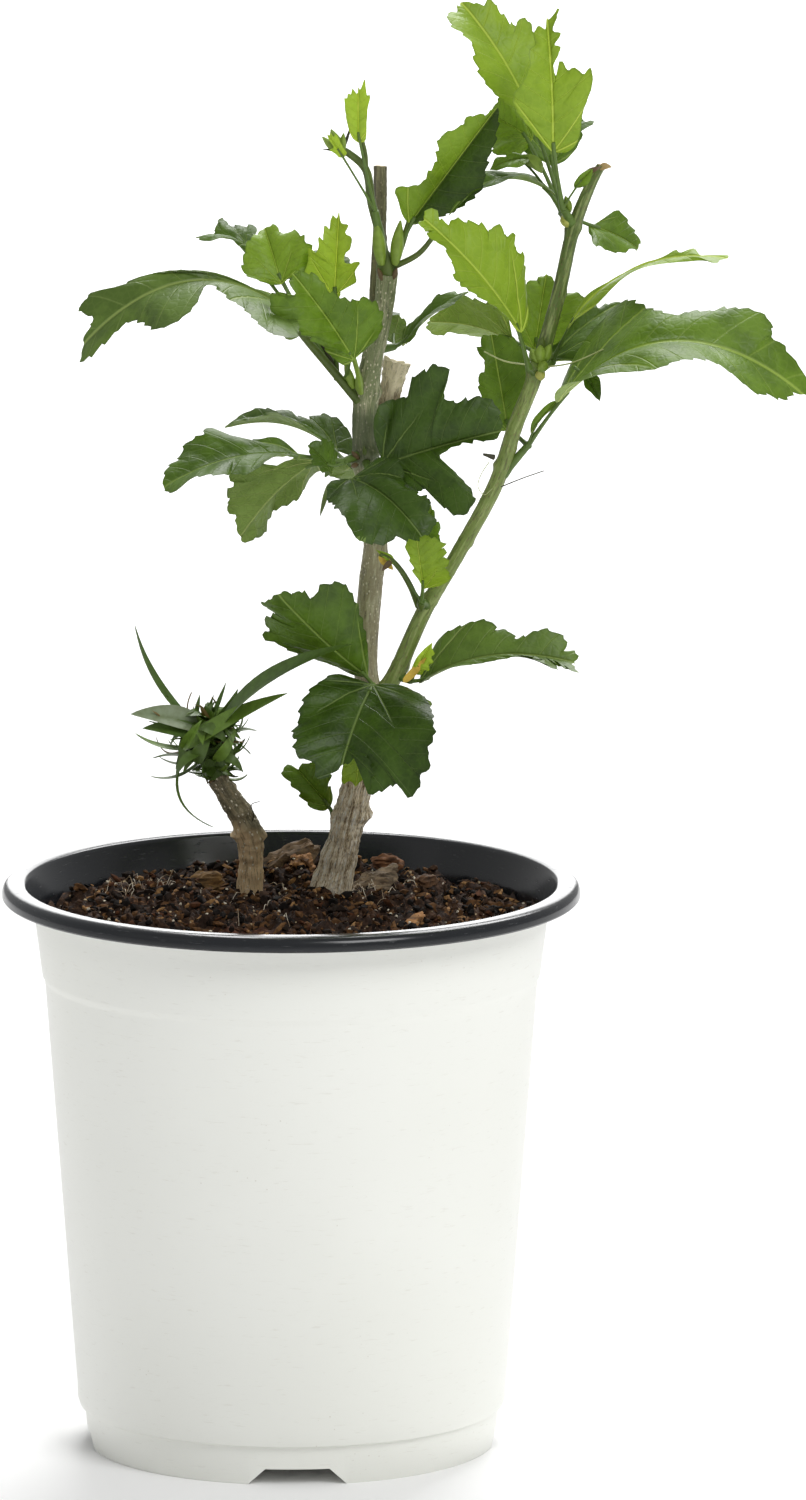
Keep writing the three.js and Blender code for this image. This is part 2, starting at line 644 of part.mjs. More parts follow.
function makeTuft(standing) {
  const middle = vector(tuft.middle);
  const heart = new THREE.IcosahedronGeometry(1, 1);
  heart.scale(...tuft.radii);
  heart.translate(...tuft.middle);
  const random = seeded(tuft.seed);
  const fillers = Array.from({ length: tuft.fillers }, (_, i) => {
    const out = direction((i * 360) / tuft.fillers + 30 * random(), -25 + 80 * random());
    const length = THREE.MathUtils.lerp(...tuft.fillerLength, random());
    return {
      foot: middle.clone().addScaledVector(out, 3),
      tip: middle.clone().addScaledVector(out, 3 + length),
      width: tuft.fillerWidth,
      facing: [-90, 80],
      arch: 0.3 * (random() - 0.3),
    };
  });
  const clearOf = Object.keys(limbs).map((limb) => limbSolid(limb, gap));
  let body = solidOf(heart);
  for (const limb of clearOf) body = body.subtract(limb);
  for (const strap of [...tuft.straps, ...fillers]) {
    const leaf = { ...strap, fold: 10 };
    const room = strapSolid(leaf, bladeThickness + gap);
    if ([...clearOf, ...standing].some((other) => touches(room, other))) continue;
    body = body.add(strapSolid(leaf, bladeThickness));
  }
  return largest(body);
}

// ---- Assembly ----

const materials = {
  pot: new THREE.MeshStandardMaterial({ color: colours.pot, roughness: 0.42, metalness: 0 }),
  mix: new THREE.MeshStandardMaterial({ color: colours.mix, roughness: 0.95, metalness: 0 }),
  bark: new THREE.MeshStandardMaterial({ color: colours.bark, roughness: 0.85, metalness: 0 }),
  stem: new THREE.MeshStandardMaterial({ color: colours.stem, roughness: 0.6, metalness: 0 }),
  foliage: new THREE.MeshStandardMaterial({ color: colours.green, roughness: 0.45, metalness: 0 }),
};

const plant = new THREE.Group();

function place(name, solid, material) {
  const mesh = new THREE.Mesh(geometryOf(solid), material);
  mesh.name = name;
  plant.add(mesh);
  return solid;
}

place("pot", makePot(), materials.pot);
place("potting_mix", makeMix(), materials.mix);

const grownLimbs = [];
for (const name of Object.keys(limbs)) {
  let body = limbSolid(name);
  for (const neighbour of grownLimbs) body = body.subtract(neighbour);
  const material = name === "trunk" || name.endsWith("stub") ? materials.bark : materials.stem;
  place(name, largest(body), material);
  grownLimbs.push(limbSolid(name, gap));
}

const standing = [];
for (const name of Object.keys(shoots))
  standing.push(place(name, makeShoot(name, standing), materials.foliage));
place("tuft", makeTuft(standing), materials.foliage);

export default plant;
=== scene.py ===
# A young rose of sharon in a round white nursery pot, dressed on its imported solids.
# The dictionaries hold millimetres in the part's own frame: +Z up, -Y the front, and the origin in
# the middle of the pot's underside. A direction is a heading, counted anticlockwise from +X, and a
# rise above the level, in degrees.
import math
import random

import bpy
import numpy as np
from mathutils import Matrix, Vector, noise


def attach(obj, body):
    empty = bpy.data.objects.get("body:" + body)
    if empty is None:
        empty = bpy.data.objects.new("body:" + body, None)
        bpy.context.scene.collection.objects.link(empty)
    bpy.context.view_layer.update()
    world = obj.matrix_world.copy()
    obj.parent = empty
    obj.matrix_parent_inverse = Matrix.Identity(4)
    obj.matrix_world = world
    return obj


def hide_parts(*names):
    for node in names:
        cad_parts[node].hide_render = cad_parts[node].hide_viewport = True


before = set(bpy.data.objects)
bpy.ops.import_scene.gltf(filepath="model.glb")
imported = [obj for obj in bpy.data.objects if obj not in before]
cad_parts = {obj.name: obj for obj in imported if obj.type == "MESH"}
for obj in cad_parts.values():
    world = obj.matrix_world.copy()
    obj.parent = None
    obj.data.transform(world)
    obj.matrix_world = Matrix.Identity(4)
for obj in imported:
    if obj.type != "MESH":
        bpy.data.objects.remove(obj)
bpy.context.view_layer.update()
mm = 0.001


def tint(red, green, blue):
    # A colour as a screen shows it, from 0 to 255, as the light that it stands for.
    def light(part):
        part /= 255
        return part / 12.92 if part <= 0.04045 else ((part + 0.055) / 1.055) ** 2.4
    return (light(red), light(green), light(blue), 1)


def shaded(colour, red, green, blue, more=(0, 0, 0)):
    # A colour with its parts scaled and raised.
    parts = zip(colour, (red, green, blue), more)
    return (*(min(1, part * share + extra) for part, share, extra in parts), 1)


def mixed(low, high, share):
    return low + (high - low) * share


def smooth(value, low, high):
    share = min(1, max(0, (value - low) / (high - low)))
    return share * share * (3 - 2 * share)


def direction(heading, rise):
    heading, rise = math.radians(heading), math.radians(rise)
    return Vector((math.cos(rise) * math.cos(heading), math.cos(rise) * math.sin(heading), math.sin(rise)))


# Shaders

class Socket:
    # A node's output: an expression on it adds the Math nodes.
    def __init__(self, look, socket):
        self.look = look
        self.socket = socket

    def maths(self, operation, *values):
        return self.look.node("ShaderNodeMath", {"operation": operation}, dict(enumerate(values)))

    def __add__(self, other):
        return self.maths("ADD", self, other)

    def __sub__(self, other):
        return self.maths("SUBTRACT", self, other)

    def __rsub__(self, other):
        return self.maths("SUBTRACT", other, self)

    def __mul__(self, other):
        return self.maths("MULTIPLY", self, other)

    __radd__ = __add__
    __rmul__ = __mul__

    def size(self):
        return self.maths("ABSOLUTE", self)

    def fraction(self):
        return self.maths("FRACT", self)

    def larger(self, other):
        return self.maths("MAXIMUM", self, other)

    def between(self, low, high):
        # 0 below low, 1 above high, and smooth from one to the other.
        settings = {"interpolation_type": "SMOOTHSTEP"}
        values = {"Value": self, "From Min": low, "From Max": high}
        return self.look.node("ShaderNodeMapRange", settings, values)


class Look:
    # One material: its Principled shader takes fixed numbers here, and what the patterns give later.
    def __init__(self, name, **fixed):
        self.material = bpy.data.materials.new(name)
        self.material.use_nodes = True
        self.tree = self.material.node_tree
        self.shader = self.tree.nodes["Principled BSDF"]
        for socket, value in fixed.items():
            self.shader.inputs[socket.replace("_", " ")].default_value = value

    def node(self, kind, settings=None, values=None, output=0):
        made = self.tree.nodes.new(kind)
        for key, value in (settings or {}).items():
            if key == "stops":
                ramp = made.color_ramp
                for i, (place, colour) in enumerate(value):
                    # A new ramp has two stops.
                    stop = ramp.elements[i] if i < 2 else ramp.elements.new(place)
                    stop.position = place
                    stop.color = colour
            else:
                setattr(made, key, value)
        for key, value in (values or {}).items():
            self.feed(made.inputs[key], value)
        return Socket(self, made.outputs[output])

    def feed(self, socket, value):
        if isinstance(value, Socket):
            self.tree.links.new(value.socket, socket)
        else:
            socket.default_value = value

    def wear(self, **patterns):
        for socket, value in patterns.items():
            self.feed(self.shader.inputs[socket.replace("_", " ")], value)
        return self.material

    def place(self):
        return self.node("ShaderNodeTexCoord", output="Object")

    def own(self, name):
        return self.node("ShaderNodeAttribute", {"attribute_name": name}, output="Vector")

    def parts(self, vector):
        made = self.node("ShaderNodeSeparateXYZ", values={0: vector}).socket.node
        return [Socket(self, output) for output in made.outputs]

    def noise(self, vector, scale, detail=3, roughness=0.5):
        values = {"Vector": vector, "Scale": scale, "Detail": detail, "Roughness": roughness}
        return self.node("ShaderNodeTexNoise", values=values)

    def cells(self, vector, scale, feature="F1"):
        return self.node("ShaderNodeTexVoronoi", {"feature": feature}, {"Vector": vector, "Scale": scale})

    def stretched(self, vector, x, y, z):
        settings = {"operation": "MULTIPLY"}
        return self.node("ShaderNodeVectorMath", settings, {0: vector, 1: (x, y, z)})

    def blend(self, share, low, high):
        # Sockets 6, 7 and 2 are the Mix node's colours.
        return self.node("ShaderNodeMix", {"data_type": "RGBA"}, {0: share, 6: low, 7: high}, output=2)

    def ramp(self, value, *stops):
        return self.node("ShaderNodeValToRGB", {"stops": stops}, {0: value})

    def bump(self, height, strength, distance):
        values = {"Strength": strength, "Distance": distance, "Height": height}
        return self.node("ShaderNodeBump", values=values)


# Meshes

def editing(on):
    bpy.ops.object.mode_set(mode="EDIT" if on else "OBJECT")


def deselect():
    bpy.ops.object.select_all(action="DESELECT")


def linked(name, mesh):
    made = bpy.data.objects.new(name, mesh)
    bpy.context.scene.collection.objects.link(made)
    return made


def pick(piece):
    deselect()
    piece.select_set(True)
    bpy.context.view_layer.objects.active = piece


class Sheets:
    # Grids of points, gathered from many small shapes and welded into one mesh. A grid's points come
    # in millimetres, row by row, and its marks are named values for each point.
    def __init__(self):
        self.points, self.faces, self.slots, self.marks, self.count = [], [], [], {}, 0

    def add(self, grid, slot=0, flip=False, **marks):
        grid = np.asarray(grid, float)
        rows, columns = grid.shape[:2]
        index = np.arange(rows * columns).reshape(rows, columns) + self.count
        corners = [index[:-1, :-1], index[:-1, 1:], index[1:, 1:], index[1:, :-1]]
        if flip:
            corners.reverse()
        self.faces.append(np.stack([c.ravel() for c in corners], 1))
        self.slots.append(np.full((rows - 1) * (columns - 1), slot))
        self.points.append(grid.reshape(-1, 3))
        for name, values in marks.items():
            self.marks.setdefault(name, []).append(np.asarray(values, float).reshape(rows * columns, -1))
        self.count += rows * columns

    def piece(self, name, looks, sharpAt=50):
        mesh = bpy.data.meshes.new(name)
        faces = np.concatenate(self.faces)
        mesh.from_pydata(np.concatenate(self.points) * mm, [], faces)
        mesh.polygons.foreach_set("material_index", np.concatenate(self.slots))
        mesh.polygons.foreach_set("use_smooth", np.ones(len(faces), bool))
        corners = np.zeros(len(mesh.loops), int)
        mesh.loops.foreach_get("vertex_index", corners)
        for mark, values in self.marks.items():
            values = np.concatenate(values)
            if values.shape[1] == 2:
                mesh.uv_layers.new(name=mark).data.foreach_set("uv", values[corners].ravel())
            else:
                made = mesh.attributes.new(mark, "FLOAT_VECTOR", "POINT")
                made.data.foreach_set("vector", values.ravel())
        for look in looks:
            mesh.materials.append(look)
        made = linked(name, mesh)
        pick(made)
        editing(True)
        bpy.ops.mesh.select_all(action="SELECT")
        bpy.ops.mesh.remove_doubles(threshold=2e-6)
        editing(False)
        mesh.set_sharp_from_angle(angle=math.radians(sharpAt))
        return made


def alongRoute(points, place):
    # A point of the smooth curve through the points. place counts them from 0.
    i = min(int(place), len(points) - 2)
    near, far = points[i], points[i + 1]
    before = points[i - 1] if i else near * 2 - far
    after = points[i + 2] if i + 2 < len(points) else far * 2 - near
    a, b, c = [(q - p).length ** 0.5 for p, q in ((before, near), (near, far), (far, after))]
    leave = ((near - before) / a - (far - before) / (a + b) + (far - near) / b) * b
    arrive = ((far - near) / b - (after - near) / (b + c) + (after - far) / c) * b
    t = place - i
    return (near * (2 * t ** 3 - 3 * t ** 2 + 1) + leave * (t ** 3 - 2 * t ** 2 + t)
            + far * (3 * t ** 2 - 2 * t ** 3) + arrive * (t ** 3 - t ** 2))


def evenPoints(first, last, steps):
    return [first.lerp(last, i / steps) for i in range(steps + 1)]


def ringAngles(sides):
    # The last is the first again, so that a ring closes.
    return [(j % sides) / sides * math.tau for j in range(sides + 1)]


def framesAlong(middles):
    # The way that a run of points goes at each of them, with a side and an up that don't twist.
    last = len(middles) - 1
    tangents = [(middles[min(i + 1, last)] - middles[max(i - 1, 0)]).normalized() for i in range(last + 1)]
    side = tangents[0].orthogonal().normalized()
    frames = []
    for tangent in tangents:
        side = (side - tangent * side.dot(tangent)).normalized()
        frames.append((tangent, side, tangent.cross(side)))
    return frames


def tubeGrid(middles, radiusAt, sides):
    # Rings round a run of points, with closed ends. radiusAt takes the ring's number and the angle.
    rows = [[middles[0]] * (sides + 1)]
    for i, (_, side, up) in enumerate(framesAlong(middles)):
        rows.append([middles[i] + (side * math.cos(angle) + up * math.sin(angle)) * radiusAt(i, angle)
                     for angle in ringAngles(sides)])
    rows.append([middles[-1]] * (sides + 1))
    return rows


# Camera, floor and light

# These two are in metres, degrees and watts.
view = {"at": (0.0232, -3.5165, 0.8109), "pitch": 79.3, "lens": 414.4, "sensor": 36, "reach": 30}
studio = {
    "floor": 16, "sky": 0.44, "aim": (0, 0, 0.16),
    # Each lamp's power, size and place: the key, the fill, the back and the glow on the far floor.
    "lamps": [(54, 1.6, (1.6, -2.2, 2.6)), (1, 1.8, (-2.4, -1.6, 1.4)),
              (68, 1.6, (0.4, 2.0, 2.4)), (10, 1.0, (0, 2.6, 0.62))],
}


def setStage():
    bpy.ops.object.camera_add(location=view["at"], rotation=(math.radians(view["pitch"]), 0, 0))
    camera = bpy.context.object
    camera.data.lens = view["lens"]
    camera.data.sensor_width = view["sensor"]
    camera.data.clip_end = view["reach"]
    bpy.context.scene.camera = camera
    bpy.ops.mesh.primitive_plane_add(size=studio["floor"])
    floor = bpy.context.object
    floor.name = "floor"
    floor.data.materials.append(Look("palePaper", Roughness=0.9).wear(Base_Color=(0.98, 0.98, 0.98, 1)))
    world = bpy.data.worlds.new("softRoom")
    bpy.context.scene.world = world
    world.use_nodes = True
    background = world.node_tree.nodes["Background"]
    background.inputs["Color"].default_value = (1, 1, 1, 1)
    background.inputs["Strength"].default_value = studio["sky"]
    for power, size, at in studio["lamps"]:
        bpy.ops.object.light_add(type="AREA", location=at)
        lamp = bpy.context.object
        lamp.data.size = size
        lamp.data.energy = power
        lamp.rotation_euler = (Vector(studio["aim"]) - Vector(at)).to_track_quat("-Z", "Y").to_euler()
    bpy.context.scene.view_settings.view_transform = "Standard"


# The pot

pot = {
    "height": 118.6, "wall": 1.0, "rimRadius": 60.0, "rimFlat": (55.3, 58.0), "lipDrop": 3.0,
    "flare": (53.3, 111.8), "band": (51.8, 99.6), "body": (51.2, 98.6), "bodyFoot": (44.7, 12.5),
    "foot": (42.2, 43.2), "footHeight": 8.0, "floor": 6.2, "sides": 192,
    "channels": 4, "turn": -88.1, "mouth": (20.5, 13.3), "channelHeight": 3.4, "channelInner": 25.0,
    "slot": (5.0, 7.0, 11.4), "slotRadius": 34.0, "smoothUnder": 38,
    # Each skin's colour, broad shade and dust, and its roughness.
    "skins": {"whiteSkin": ((239, 240, 234), (235, 236, 229), (200, 196, 184), 0.38),
              "charcoalSkin": ((18, 21, 25), (25, 29, 34), (104, 106, 106), 0.2)},
}


def potOutline():
    # The wall's half section: up outside, over the lip, down inside. Each run has its own finish.
    height, wall, rim, drop = pot["height"], pot["wall"], pot["rimRadius"], pot["lipDrop"]
    foot, footTop = pot["foot"]
    footHeight = pot["footHeight"]
    low, lowHeight = pot["bodyFoot"]
    body, bodyHeight = pot["body"]
    band, bandHeight = pot["band"]
    flare, flareHeight = pot["flare"]
    flatInner, flatOuter = pot["rimFlat"]
    white = [
        (foot, 0.0), (foot + 0.25, 0.3), (footTop - 0.1, footHeight - 0.5), (footTop, footHeight),
        (low - 0.5, footHeight + 0.5), (low - 0.05, lowHeight - 2.6), (low, lowHeight),
        (mixed(low, body, 0.33), mixed(lowHeight, bodyHeight, 0.33)),
        (mixed(low, body, 0.66), mixed(lowHeight, bodyHeight, 0.66)),
        (body - 0.02, bodyHeight - 0.5), (body + 0.1, bodyHeight + 0.1), (band - 0.1, bandHeight - 0.2),
        (band + 0.03, bandHeight + 0.5), (flare - 0.08, flareHeight - 0.8), (flare + 0.1, flareHeight + 0.4),
        (flare + 0.9, height - 3.6), (flare + 1.6, height - 2.4), (rim - 4.2, height - 1.9),
        (rim - 2.0, height - 2.3), (rim - 1.25, height - 2.9), (rim - 1.0, height - drop),
    ]
    black = [
        (rim - 0.35, height - drop - 0.12), (rim, height - drop + 0.25), (rim, height - 1.7),
        (rim - 0.2, height - 0.95), (rim - 0.65, height - 0.42), (rim - 1.3, height - 0.12),
        (flatOuter, height), (flatInner + 0.5, height - 0.02), (flatInner, height - 0.25),
        (flatInner - 0.35, height - 0.9), (flare - 0.1, flareHeight + 1.6), (flare - wall, flareHeight - 0.2),
        (band - wall, bandHeight + 0.4), (body - wall, bodyHeight - 0.6), (low - wall, lowHeight),
        (footTop - wall, footHeight), (foot - wall, pot["floor"]),
    ]
    return white + black


def plasticLook(name, colour, shade, dust, roughness):
    look = Look(name, Roughness=roughness)
    place = look.place()
    broad = look.noise(place, 14, 2)
    fine = look.noise(place, 900, 2)
    specks = look.cells(place, 520).between(0.1, 0.06) * look.noise(place, 60, 2).between(0.55, 0.7)
    scuff = look.noise(look.stretched(place, 30, 30, 240), 9, 4, 0.6).between(0.6, 0.75)
    base = look.blend(broad.between(0.35, 0.7), tint(*colour), tint(*shade))
    base = look.blend((specks * 0.6).larger(scuff * 0.25), base, tint(*dust))
    height = fine * 0.25 + broad + scuff * -0.4
    return look.wear(
        Base_Color=base,
        Roughness=roughness + (broad - 0.5) * 0.12 + scuff * 0.12,
        Normal=look.bump(height, 0.25, 0.0002),
    )


def makePot():
    outline = potOutline()
    deselect()
    bpy.ops.mesh.primitive_circle_add(vertices=pot["sides"], radius=outline[0][0] * mm)
    made = bpy.context.object
    made.name = "pot_shell"
    editing(True)
    for (radius, height), (nextRadius, nextHeight) in zip(outline, outline[1:]):
        bpy.ops.mesh.extrude_region_move(
            TRANSFORM_OT_translate={"value": (0, 0, (nextHeight - height) * mm)})
        grow = nextRadius / radius
        bpy.ops.transform.resize(value=(grow, grow, 1), center_override=(0, 0, 0))
    bpy.ops.mesh.edge_face_add()
    # The underside is still open: its rim is the first ring.
    bpy.ops.mesh.select_all(action="DESELECT")
    editing(False)
    mesh = made.data
    for edge in mesh.edges:
        edge.select = all(abs(mesh.vertices[v].co.z) < 1e-6 for v in edge.vertices)
    editing(True)
    bpy.ops.mesh.edge_face_add()
    bpy.ops.mesh.select_all(action="SELECT")
    bpy.ops.mesh.normals_make_consistent(inside=False)
    editing(False)
    for i in range(pot["channels"]):
        cutChannel(made, pot["turn"] + i * 360 / pot["channels"])
    mesh.materials.clear()
    for name, skin in pot["skins"].items():
        mesh.materials.append(plasticLook(name, *skin))
    lipEdge = (pot["height"] - pot["lipDrop"]) * mm
    for face in mesh.polygons:
        radius = math.hypot(face.center.x, face.center.y)
        inside = face.normal.x * face.center.x + face.normal.y * face.center.y < 0
        wallAt = radius > pot["foot"][0] * mm * 0.9
        onLip = face.center.z > lipEdge - 0.0002 and radius > (pot["rimRadius"] - 1.02) * mm
        top = face.normal.z > 0.3 and face.center.z > lipEdge
        face.material_index = int(onLip or top or (inside and wallAt and face.center.z > pot["floor"] * mm))
    bpy.ops.object.shade_smooth_by_angle(angle=math.radians(pot["smoothUnder"]))
    return made


def cutChannel(shell, turn):
    # A drain channel from the foot's edge inwards, and the slot in its ceiling.
    bottom, top = (w / 2 for w in pot["mouth"])
    for kind in ("channel", "slot"):
        deselect()
        bpy.ops.mesh.primitive_cube_add(size=1)
        cutter = bpy.context.object
        editing(True)
        if kind == "channel":
            length = pot["rimRadius"] - pot["channelInner"]
            bpy.ops.transform.resize(value=(length * mm, 2 * bottom * mm, 2 * pot["channelHeight"] * mm))
            bpy.ops.transform.translate(value=((pot["channelInner"] + length / 2) * mm, 0, 0))
            editing(False)
            for vertex in cutter.data.vertices:
                # The sides lean in towards the ceiling. The cutter's foot is as far below the floor.
                half = 2 * bottom - top if vertex.co.z < 0 else top
                vertex.co.y = math.copysign(half * mm, vertex.co.y)
        else:
            bpy.ops.transform.resize(value=tuple(side * mm for side in pot["slot"]))
            bpy.ops.transform.translate(value=(pot["slotRadius"] * mm, 0, 0))
            editing(False)
        cutter.data.transform(Matrix.Rotation(math.radians(turn), 4, "Z"))
        pick(shell)
        cut = shell.modifiers.new("cut", "BOOLEAN")
        cut.operation = "DIFFERENCE"
        cut.object = cutter
        bpy.ops.object.modifier_apply(modifier="cut")
        bpy.data.objects.remove(cutter)
    pick(shell)


# The potting mix

# back is a rise behind the plant, and hump is one of its own: its place, height and spread. bed is the
# reach of the even ground round a stem's foot.
mix = {
    "level": 110.8, "mound": 2.2, "lump": 0.8, "back": 2.4, "backFrom": (14, 40), "backSpread": 500,
    "hump": (-26, 26, 1.2, 140), "clods": 2.5, "grains": 0.6, "pits": 3.2, "bed": 9.0, "edge": 51.9,
    "sides": 200, "rings": 64, "bottom": 100.0, "seed": 5,
}


def lumps(x, y):
    broad = math.sin(x * 0.31 + y * 0.17) * math.cos(y * 0.27 - x * 0.11)
    return broad + 0.6 * math.sin(x * 0.7 - y * 0.5)


def mixHeight(x, y):
    share = math.hypot(x, y) / pot["body"][0]
    height = mix["level"] + mix["mound"] * (1 - share ** 2) + mix["lump"] * lumps(x, y)
    height += mix["back"] * smooth(y, *mix["backFrom"]) * math.exp(-x ** 2 / mix["backSpread"])
    humpX, humpY, rise, spread = mix["hump"]
    height += rise * math.exp(-((x - humpX) ** 2 + (y - humpY) ** 2) / spread)
    for name in ("trunk", "small_stem"):
        footX, footY, footZ = limbs[name]["foot"]
        bed = smooth(math.hypot(x - footX, y - footY), mix["bed"], mix["bed"] * 1.6)
        height = mixed(footZ - 0.3, height, bed)
    return height


def crumbs(x, y):
    # The mix's own fine relief: soft clods and small grains.
    clod = noise.fractal(Vector((x * 0.22, y * 0.22, 3)), 0.6, 2.1, 4)
    grain = noise.noise(Vector((x * 1.1, y * 1.1, 7)))
    pit = max(0, -noise.noise(Vector((x * 0.35, y * 0.35, 11))) - 0.1)
    return clod * mix["clods"] + grain * mix["grains"] - pit * mix["pits"]


def mixTop(x, y):
    return mixHeight(x, y) + crumbs(x, y)


def makeMix():
    grid = []
    for i in range(mix["rings"] + 1):
        radius = mix["edge"] * (1 - i / mix["rings"])
        ring = [(radius * math.cos(angle), radius * math.sin(angle)) for angle in ringAngles(mix["sides"])]
        grid.append([(x, y, mixTop(x, y)) for x, y in ring])
    under = [(x * 0.985, y * 0.985, mix["bottom"]) for x, y, _ in grid[0]]
    middle = [(0, 0, mix["bottom"])] * (mix["sides"] + 1)
    sheets = Sheets()
    sheets.add([middle, under] + grid)
    return sheets.piece("potting_mix_bed", [mixLook()], 80)


def mixLook():
    look = Look("moistMix", Specular_IOR_Level=0.15)
    place = look.place()
    grain = look.noise(place, 900, 4, 0.7)
    clods = look.noise(place, 120, 3)
    cells = look.cells(place, 1100)
    tone = look.ramp(
        grain * 0.6 + clods * 0.4,
        (0.3, tint(18, 12, 9)), (0.62, tint(74, 52, 36)), (0.5, tint(44, 29, 20)))
    fibre = look.noise(look.stretched(place, 1, 3, 3), 420, 3, 0.6).between(0.62, 0.7)
    tone = look.blend(fibre * 0.8, tone, tint(120, 84, 54))
    speck = look.cells(place, 640).between(0.16, 0.08) * look.noise(place, 200, 1).between(0.52, 0.6)
    tone = look.blend(speck, tone, tint(196, 184, 164))
    x, y, _ = look.parts(place)
    away = (x + 0.016) * (x + 0.016) + (y + 0.032) * (y + 0.032) * 2
    tone = look.blend((1 - away.between(0.00005, 0.0004)) * 0.6, tone, tint(104, 62, 42))
    height = grain + cells * -0.6 + clods
    return look.wear(Base_Color=tone, Roughness=0.95 - grain * 0.35, Normal=look.bump(height, 0.8, 0.0006))


# Small things that lie in the mix: how many, their size across, their length against it, and how
# deep they sit. grit is what they share: the number of shapes, how rough they are, how far they
# tilt, how flat they are, and how far they stay from the wall.
grit = {"shapes": 4, "rough": 0.16, "tilt": 0.6, "flat": (0.5, 1), "inset": 1.5}
litter = {
    "dark_crumbs": {"count": 4000, "size": (0.4, 2.1), "long": (1, 1.7), "lift": 0.3,
                    "colours": [(18, 12, 8), (36, 24, 15), (62, 41, 25), (98, 68, 40)]},
    "bark_bits": {"count": 1100, "size": (0.4, 1.3), "long": (1.3, 3.2), "lift": 0.6,
                  "colours": [(112, 80, 48), (156, 118, 76), (84, 50, 28)]},
    "perlite": {"count": 620, "size": (0.25, 0.8), "long": (1, 1.3), "lift": 0.7,
                "colours": [(236, 226, 204), (190, 168, 134)]},
}


def grainShape(seed):
    # A rough grain: a small ball whose corners are pushed about.
    deselect()
    bpy.ops.mesh.primitive_ico_sphere_add(subdivisions=1, radius=0.5)
    ball = bpy.context.object
    editing(True)
    bpy.ops.mesh.select_all(action="SELECT")
    bpy.ops.transform.vertex_random(offset=grit["rough"], uniform=1, seed=seed)
    editing(False)
    points = np.array([vertex.co[:] for vertex in ball.data.vertices])
    faces = np.array([face.vertices[:] for face in ball.data.polygons])
    bpy.data.objects.remove(ball)
    return points, faces


def makeLitter(name, settings):
    random.seed(sum(map(ord, name)) + mix["seed"])
    shapes = [grainShape(seed) for seed in range(grit["shapes"])]
    points, faces, slots, count = [], [], [], 0
    for _ in range(settings["count"]):
        radius = (mix["edge"] - grit["inset"]) * math.sqrt(random.random())
        angle = random.random() * math.tau
        x, y = radius * math.cos(angle), radius * math.sin(angle)
        shape, shapeFaces = random.choice(shapes)
        size = random.uniform(*settings["size"])
        turn = Matrix.Rotation(random.random() * math.tau, 3, "Z")
        turn = turn @ Matrix.Rotation(random.uniform(-grit["tilt"], grit["tilt"]), 3, "Y")
        turn = turn @ Matrix.Rotation(random.random() * math.tau, 3, "X")
        stretch = [random.uniform(*settings["long"]), 1, random.uniform(*grit["flat"])]
        scaled = shape * size * np.array(stretch)
        at = np.array([x, y, mixTop(x, y) + size * (settings["lift"] - 0.35)])
        points.append(scaled @ np.array(turn).T + at)
        faces.append(shapeFaces + count)
        slots.append(np.full(len(shapeFaces), random.randrange(len(settings["colours"]))))
        count += len(shape)
    mesh = bpy.data.meshes.new(name)
    mesh.from_pydata(np.concatenate(points) * mm, [], np.concatenate(faces))
    for i, colour in enumerate(settings["colours"]):
        look = Look(f"{name}_{i}", Roughness=0.9, Specular_IOR_Level=0.2)
        pale = look.noise(look.place(), 1500, 2)
        base = tint(*colour)
        tone = look.blend(pale.between(0.3, 0.7), shaded(base, 0.45, 0.45, 0.45), base)
        mesh.materials.append(look.wear(Base_Color=tone))
    mesh.polygons.foreach_set("material_index", np.concatenate(slots))
    return linked(name, mesh)


# The larger bark chips: place, size, heading and rise, and the colour of the wood. chipWear is what
# they share: cuts a side, the shake of their points, the taper of their ends, and how deep their
# fibres are torn and stepped.
chipWear = {
    "cuts": 5, "shake": 0.4, "dent": 0.9, "taper": 0.45, "torn": 1.1, "stepped": 0.9, "smoothUnder": 40,
}
barkChips = [
    {"at": (-1, 40, 115.0), "size": (13.5, 6.5, 4.8), "turn": (15, 25), "colour": (98, 78, 54)},
    {"at": (-17.5, 25, 113.8), "size": (6.2, 4.4, 3.6), "turn": (20, 5), "colour": (122, 94, 56)},
    {"at": (17.5, 22.5, 114.2), "size": (9.5, 4.5, 3.6), "turn": (10, 24), "colour": (112, 96, 76)},
    {"at": (2, 36, 115.6), "size": (5.5, 4, 3), "turn": (70, 15), "colour": (138, 98, 58)},
    {"at": (-9, 27, 114.6), "size": (5, 3.6, 3), "turn": (-30, 10), "colour": (126, 90, 54)},
    {"at": (20, 36, 115.6), "size": (6, 3.6, 3), "turn": (-15, 8), "colour": (98, 64, 38)},
    {"at": (28, 24, 114.2), "size": (4.4, 3, 2.4), "turn": (40, 10), "colour": (84, 58, 36)},
    {"at": (25.5, -13, 112.8), "size": (7.5, 2.2, 1.4), "turn": (55, 24), "colour": (146, 104, 62)},
]


def chipLook(name, colour):
    look = Look(name, Roughness=0.85)
    place = look.place()
    grain = look.noise(look.stretched(place, 0.25, 1, 1), 900, 4, 0.6)
    base = tint(*colour)
    dark, pale = shaded(base, 0.22, 0.22, 0.22), shaded(base, 1.7, 1.7, 1.7)
    tone = look.ramp(grain, (0.32, dark), (0.68, pale), (0.5, base))
    return look.wear(Base_Color=tone, Normal=look.bump(grain, 0.7, 0.0005))


